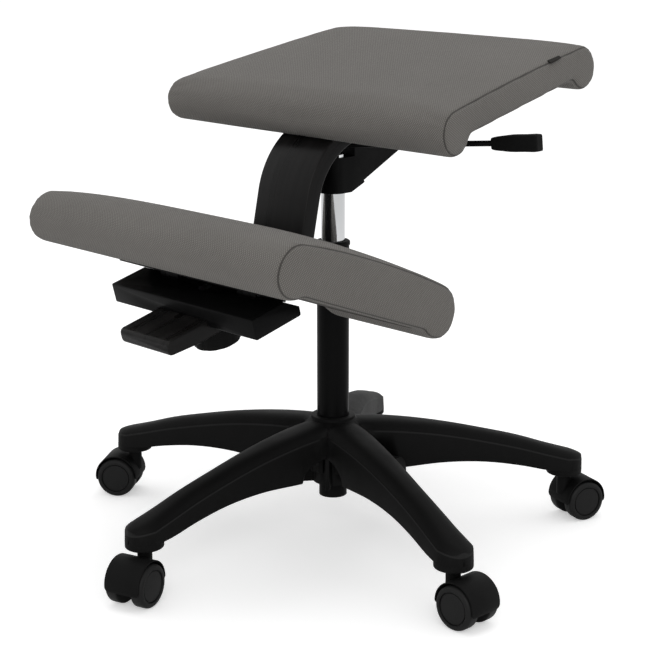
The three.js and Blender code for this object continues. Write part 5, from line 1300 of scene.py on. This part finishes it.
bracket_side = [
    (-0.018, 0.424), (0.013, 0.424, 0.004), (0.035, 0.4335, 0.0008), (0.0335, 0.436, 0.0005),
    (0.128, 0.48311, 0.003), (0.128, bracket_top(0.128)), (0.006, bracket_top(0.006)),
    (-0.006, bracket_top(-0.006) - 0.0005), (-0.018, bracket_top(-0.018) - 0.0034),
]
slab = raised(rounded(bracket_side, closed=True), -0.018, 0.018)
slab.transform(Matrix(((0, 0, 1, 0), (1, 0, 0, 0), (0, 1, 0, 0), (0, 0, 0, 1))))
nose = [(0.018 * math.cos(angle), 0.018 * math.sin(angle)) for angle in np.linspace(math.pi, 2 * math.pi, 40)]
bracket = make_piece(slab, "column_socket", paint)
crossing_plan = make_piece(raised([*nose, (0.018, 0.14), (-0.018, 0.14)], 0.40, 0.54), "tool", paint)
meet = bracket.modifiers.new("meet", "BOOLEAN")
meet.operation = "INTERSECT"
meet.solver = "EXACT"
meet.object = crossing_plan
settle(bracket)
bpy.data.objects.remove(crossing_plan)
bm = bmesh.new()
bm.from_mesh(bracket.data)
bmesh.ops.remove_doubles(bm, verts=bm.verts, dist=1e-5)
eased(bm, 0.0012, least=48)
bm.to_mesh(bracket.data)
bm.free()
window = box_between((-0.03, -0.0065, 0.466), (0.03, 0.018, 0.4844), 0.0012)
socket = bar(0.01435, (0, 0, 0.42), (0, 0, 0.4703), 64)
pin_room = bar(0.0022, (0.015, -0.0102, 0.4802), (0.015, 0.0217, 0.4802), 20)
bolt_rooms = []
for v in (0.042, 0.102):
    room = bar(0.0045, (0, v, -0.0473), (0, v, 0), 24)
    room.transform(Matrix.Translation(-AXIS) @ seat_frame)
    bolt_rooms.append(room)
carved(bracket, window, socket, pin_room, *bolt_rooms)
bracket.data.transform(on_axis)
bracket.data.polygons.foreach_set("use_smooth", [True] * len(bracket.data.polygons))
bracket.data.set_sharp_from_angle(angle=math.radians(34))
stand_for(bracket, "black_paint", "column_bracket")

# %% The height lever
lever_frame = (
    Matrix.Translation(AXIS + Vector((0.015, 0.0047, 0.4802)))
    @ Matrix.Rotation(math.radians(5.2), 4, "Z")
    @ Matrix.Rotation(math.radians(-5.9), 4, "Y")
)
rod = bar(0.00325, (-0.0182, 0, 0), (0.2324, 0, 0), 32, edge=0.0006)
rod_piece = make_piece(rod, "lever_bar", paint)
eye = bar(0.0042, (0, -0.005, 0), (0, 0.005, 0), 32)
eye_bore = bar(0.0023, (0, -0.01, 0), (0, 0.01, 0), 20)
for part in (eye, eye_bore):
    part.transform(Matrix.Rotation(math.radians(-5.2), 4, "Z"))
welded(rod_piece, eye)
carved(rod_piece, eye_bore)
rod_piece.data.transform(lever_frame)
stand_for(rod_piece, "black_paint", "lever_rod")

GRIP_STATIONS = np.array([0, 0.03, 0.2, 0.4, 0.7, 0.97, 1.0])
GRIP_HEIGHTS = np.array([0.68, 0.74, 0.87, 0.99, 1.0, 1.0, 0.97])
rings = []
for share in (0, 0.012, 0.03, 0.08, 0.14, 0.2, 0.3, 0.4, 0.5, 0.7, 0.9, 0.965, 0.985, 1):
    half = 0.0092 * float(smooth_between(GRIP_STATIONS, GRIP_HEIGHTS, np.array([share]))[0])
    wide = 0.0055 - 0.0005 * max(0.0, 1 - 50 * min(share, 1 - share))
    section = rounded([(-wide, -half, 0.0021), (wide, -half, 0.0021), (wide, half, 0.0021), (-wide, half, 0.0021)], True)
    rings.append([Vector((0.211 + 0.060 * share, y, z)) for y, z in section])
grip = make_piece(swept(rings), "lever_grip", nylon, sharp=40)
carved(grip, bar(0.0037, (0.2, 0, 0), (0.2333, 0, 0), 32))
grip.data.transform(lever_frame)
stand_for(grip, "black_nylon", "lever_handle")

# %% Seat plate, carriage and tilt bracket
RIDGE_LIFT = 0.00025
RIDGE_SHIFT = 0.0006


def lift_ridge(bm):
    """Puts the ridge on top of the carriage a little higher and further back, so no light comes through."""
    bm.transform(rail_frame.inverted())
    for vert in bm.verts:
        if vert.co.z > 0.0157 and 0.006 < vert.co.y < 0.0095:
            vert.co += Vector((0, RIDGE_SHIFT, RIDGE_LIFT))
    bm.transform(rail_frame)


for node_name, name in (
    ("seat_plate", "seat_base_plate"), ("carriage_block", "rail_carriage"), ("tilt_bracket", "tilt_plate"),
):
    eased_copy = eased(copied(node_name), 0.0006, least=40, segments=2)
    if name == "rail_carriage":
        lift_ridge(eased_copy)
    stand_for(make_piece(eased_copy, name, paint, sharp=36), "black_paint", node_name)

# %% The clamp knob
KNOB_RADIUS = 0.0272
FLUTES = 10
knob_top = -0.0213
plan = []
for step in range(180):
    angle = 2 * math.pi * step / 180
    near = (angle * FLUTES / (2 * math.pi) + 0.5) % 1 - 0.5
    dip = 0.0005 * math.exp(-(near / 0.16) ** 2)
    plan.append(((KNOB_RADIUS - dip) * math.cos(angle), (KNOB_RADIUS - dip) * math.sin(angle)))
knob = make_piece(eased(raised(plan, knob_top - 0.030, knob_top), 0.0024, least=60, segments=4), "knob", nylon)
carved(knob, bar(0.0045, (0, 0, knob_top - 0.0153), (0, 0, knob_top + 0.003), 32))
knob.data.transform(rail_frame)
stand_for(knob, "black_nylon", "clamp_knob")

# %% [markdown]
# Finishes for the nodes that stay
#
# Boards, bolts, pins and stems are shown as the frame has them. They only need their finish.

# %% Finishes on the CAD nodes
finishes = {
    "black_nylon": nylon, "black_paint": paint, "black_stained_wood": wood, "plywood": plywood,
    "chrome": chrome, "bright_steel": steel, "grey_weave": weave_cloth,
    "grey_underside_cloth": under_cloth, "dark_tread": tyre,
}
for entry in frame["record"]["subparts"]:
    mesh = frame["nodes"][entry["node"]].data
    mesh.materials.clear()
    mesh.materials.append(finishes[entry["material_slot"]])
print("finishes", len(finishes))

# %% [markdown]
# The studio
#
# The chair stands on a white floor that fills the picture. The floor is lit like the chair and keeps its
# shadow. A little glow that only the camera sees lifts the open floor to white.

# %% Floor
floor_material = bpy.data.materials.new("studio_floor")
floor_material.use_nodes = True
tree = floor_material.node_tree
shader = tree.nodes["Principled BSDF"]
shader.inputs["Base Color"].default_value = (0.93, 0.93, 0.93, 1)
shader.inputs["Roughness"].default_value = 0.8
shader.inputs["Specular IOR Level"].default_value = 0.0
shader.inputs["Emission Color"].default_value = (1, 1, 1, 1)
ray = node(tree, "ShaderNodeLightPath")
FLOOR_GLOW = 0.4
glow = maths(tree, "MULTIPLY", ray.outputs["Is Camera Ray"], FLOOR_GLOW)
tree.links.new(glow, shader.inputs["Emission Strength"])
bm = bmesh.new()
bmesh.ops.create_grid(bm, x_segments=8, y_segments=8, size=30)
floor = make_piece(bm, "floor", floor_material)

# %% World and lamps
world = bpy.data.worlds.new("studio")
bpy.context.scene.world = world
world.use_nodes = True
tree = world.node_tree
background = tree.nodes["Background"]
background.inputs["Color"].default_value = (1, 1, 1, 1)
ray = node(tree, "ShaderNodeLightPath")
seen = maths(tree, "MAXIMUM", ray.outputs["Is Camera Ray"], ray.outputs["Is Glossy Ray"])
seen = maths(tree, "MAXIMUM", seen, ray.outputs["Is Transmission Ray"])
WORLD_LIGHT = 0.72
level = maths(tree, "MULTIPLY_ADD", seen, 1 - WORLD_LIGHT, WORLD_LIGHT)
tree.links.new(level, background.inputs["Strength"])


def lamp(name, place, aim, size, power):
    """A soft square lamp that looks at a point."""
    data = bpy.data.lights.new(name, "AREA")
    data.size = size
    data.energy = power
    light = bpy.data.objects.new(name, data)
    light.location = place
    light.rotation_euler = (Vector(aim) - Vector(place)).to_track_quat("-Z", "Y").to_euler()
    bpy.context.scene.collection.objects.link(light)


lamp("key", (2.0, -2.0, 1.6), (0, 0, 0.3), 1.6, 19)
lamp("top", (0.0, 0.2, 3.2), (0, 0, 0.3), 2.2, 17)

# %% [markdown]
# The camera
#
# It looks from the chair's left front, a little from above, through a long lens.

# %% Camera
AZIMUTH = math.radians(45.68)
ELEVATION = math.radians(14.8)
target = AXIS + Vector((0, 0, 0.252))
look = Vector((
    math.sin(AZIMUTH) * math.cos(ELEVATION), -math.cos(AZIMUTH) * math.cos(ELEVATION), math.sin(ELEVATION),
))
data = bpy.data.cameras.new("camera")
data.sensor_width = 36
data.lens = 89.62
data.clip_end = 100
camera = bpy.data.objects.new("camera", data)
camera.location = target + look * 1.994
camera.rotation_euler = (-look).to_track_quat("-Z", "Y").to_euler()
bpy.context.scene.collection.objects.link(camera)
bpy.context.scene.camera = camera
bpy.context.scene.view_settings.view_transform = "Standard"
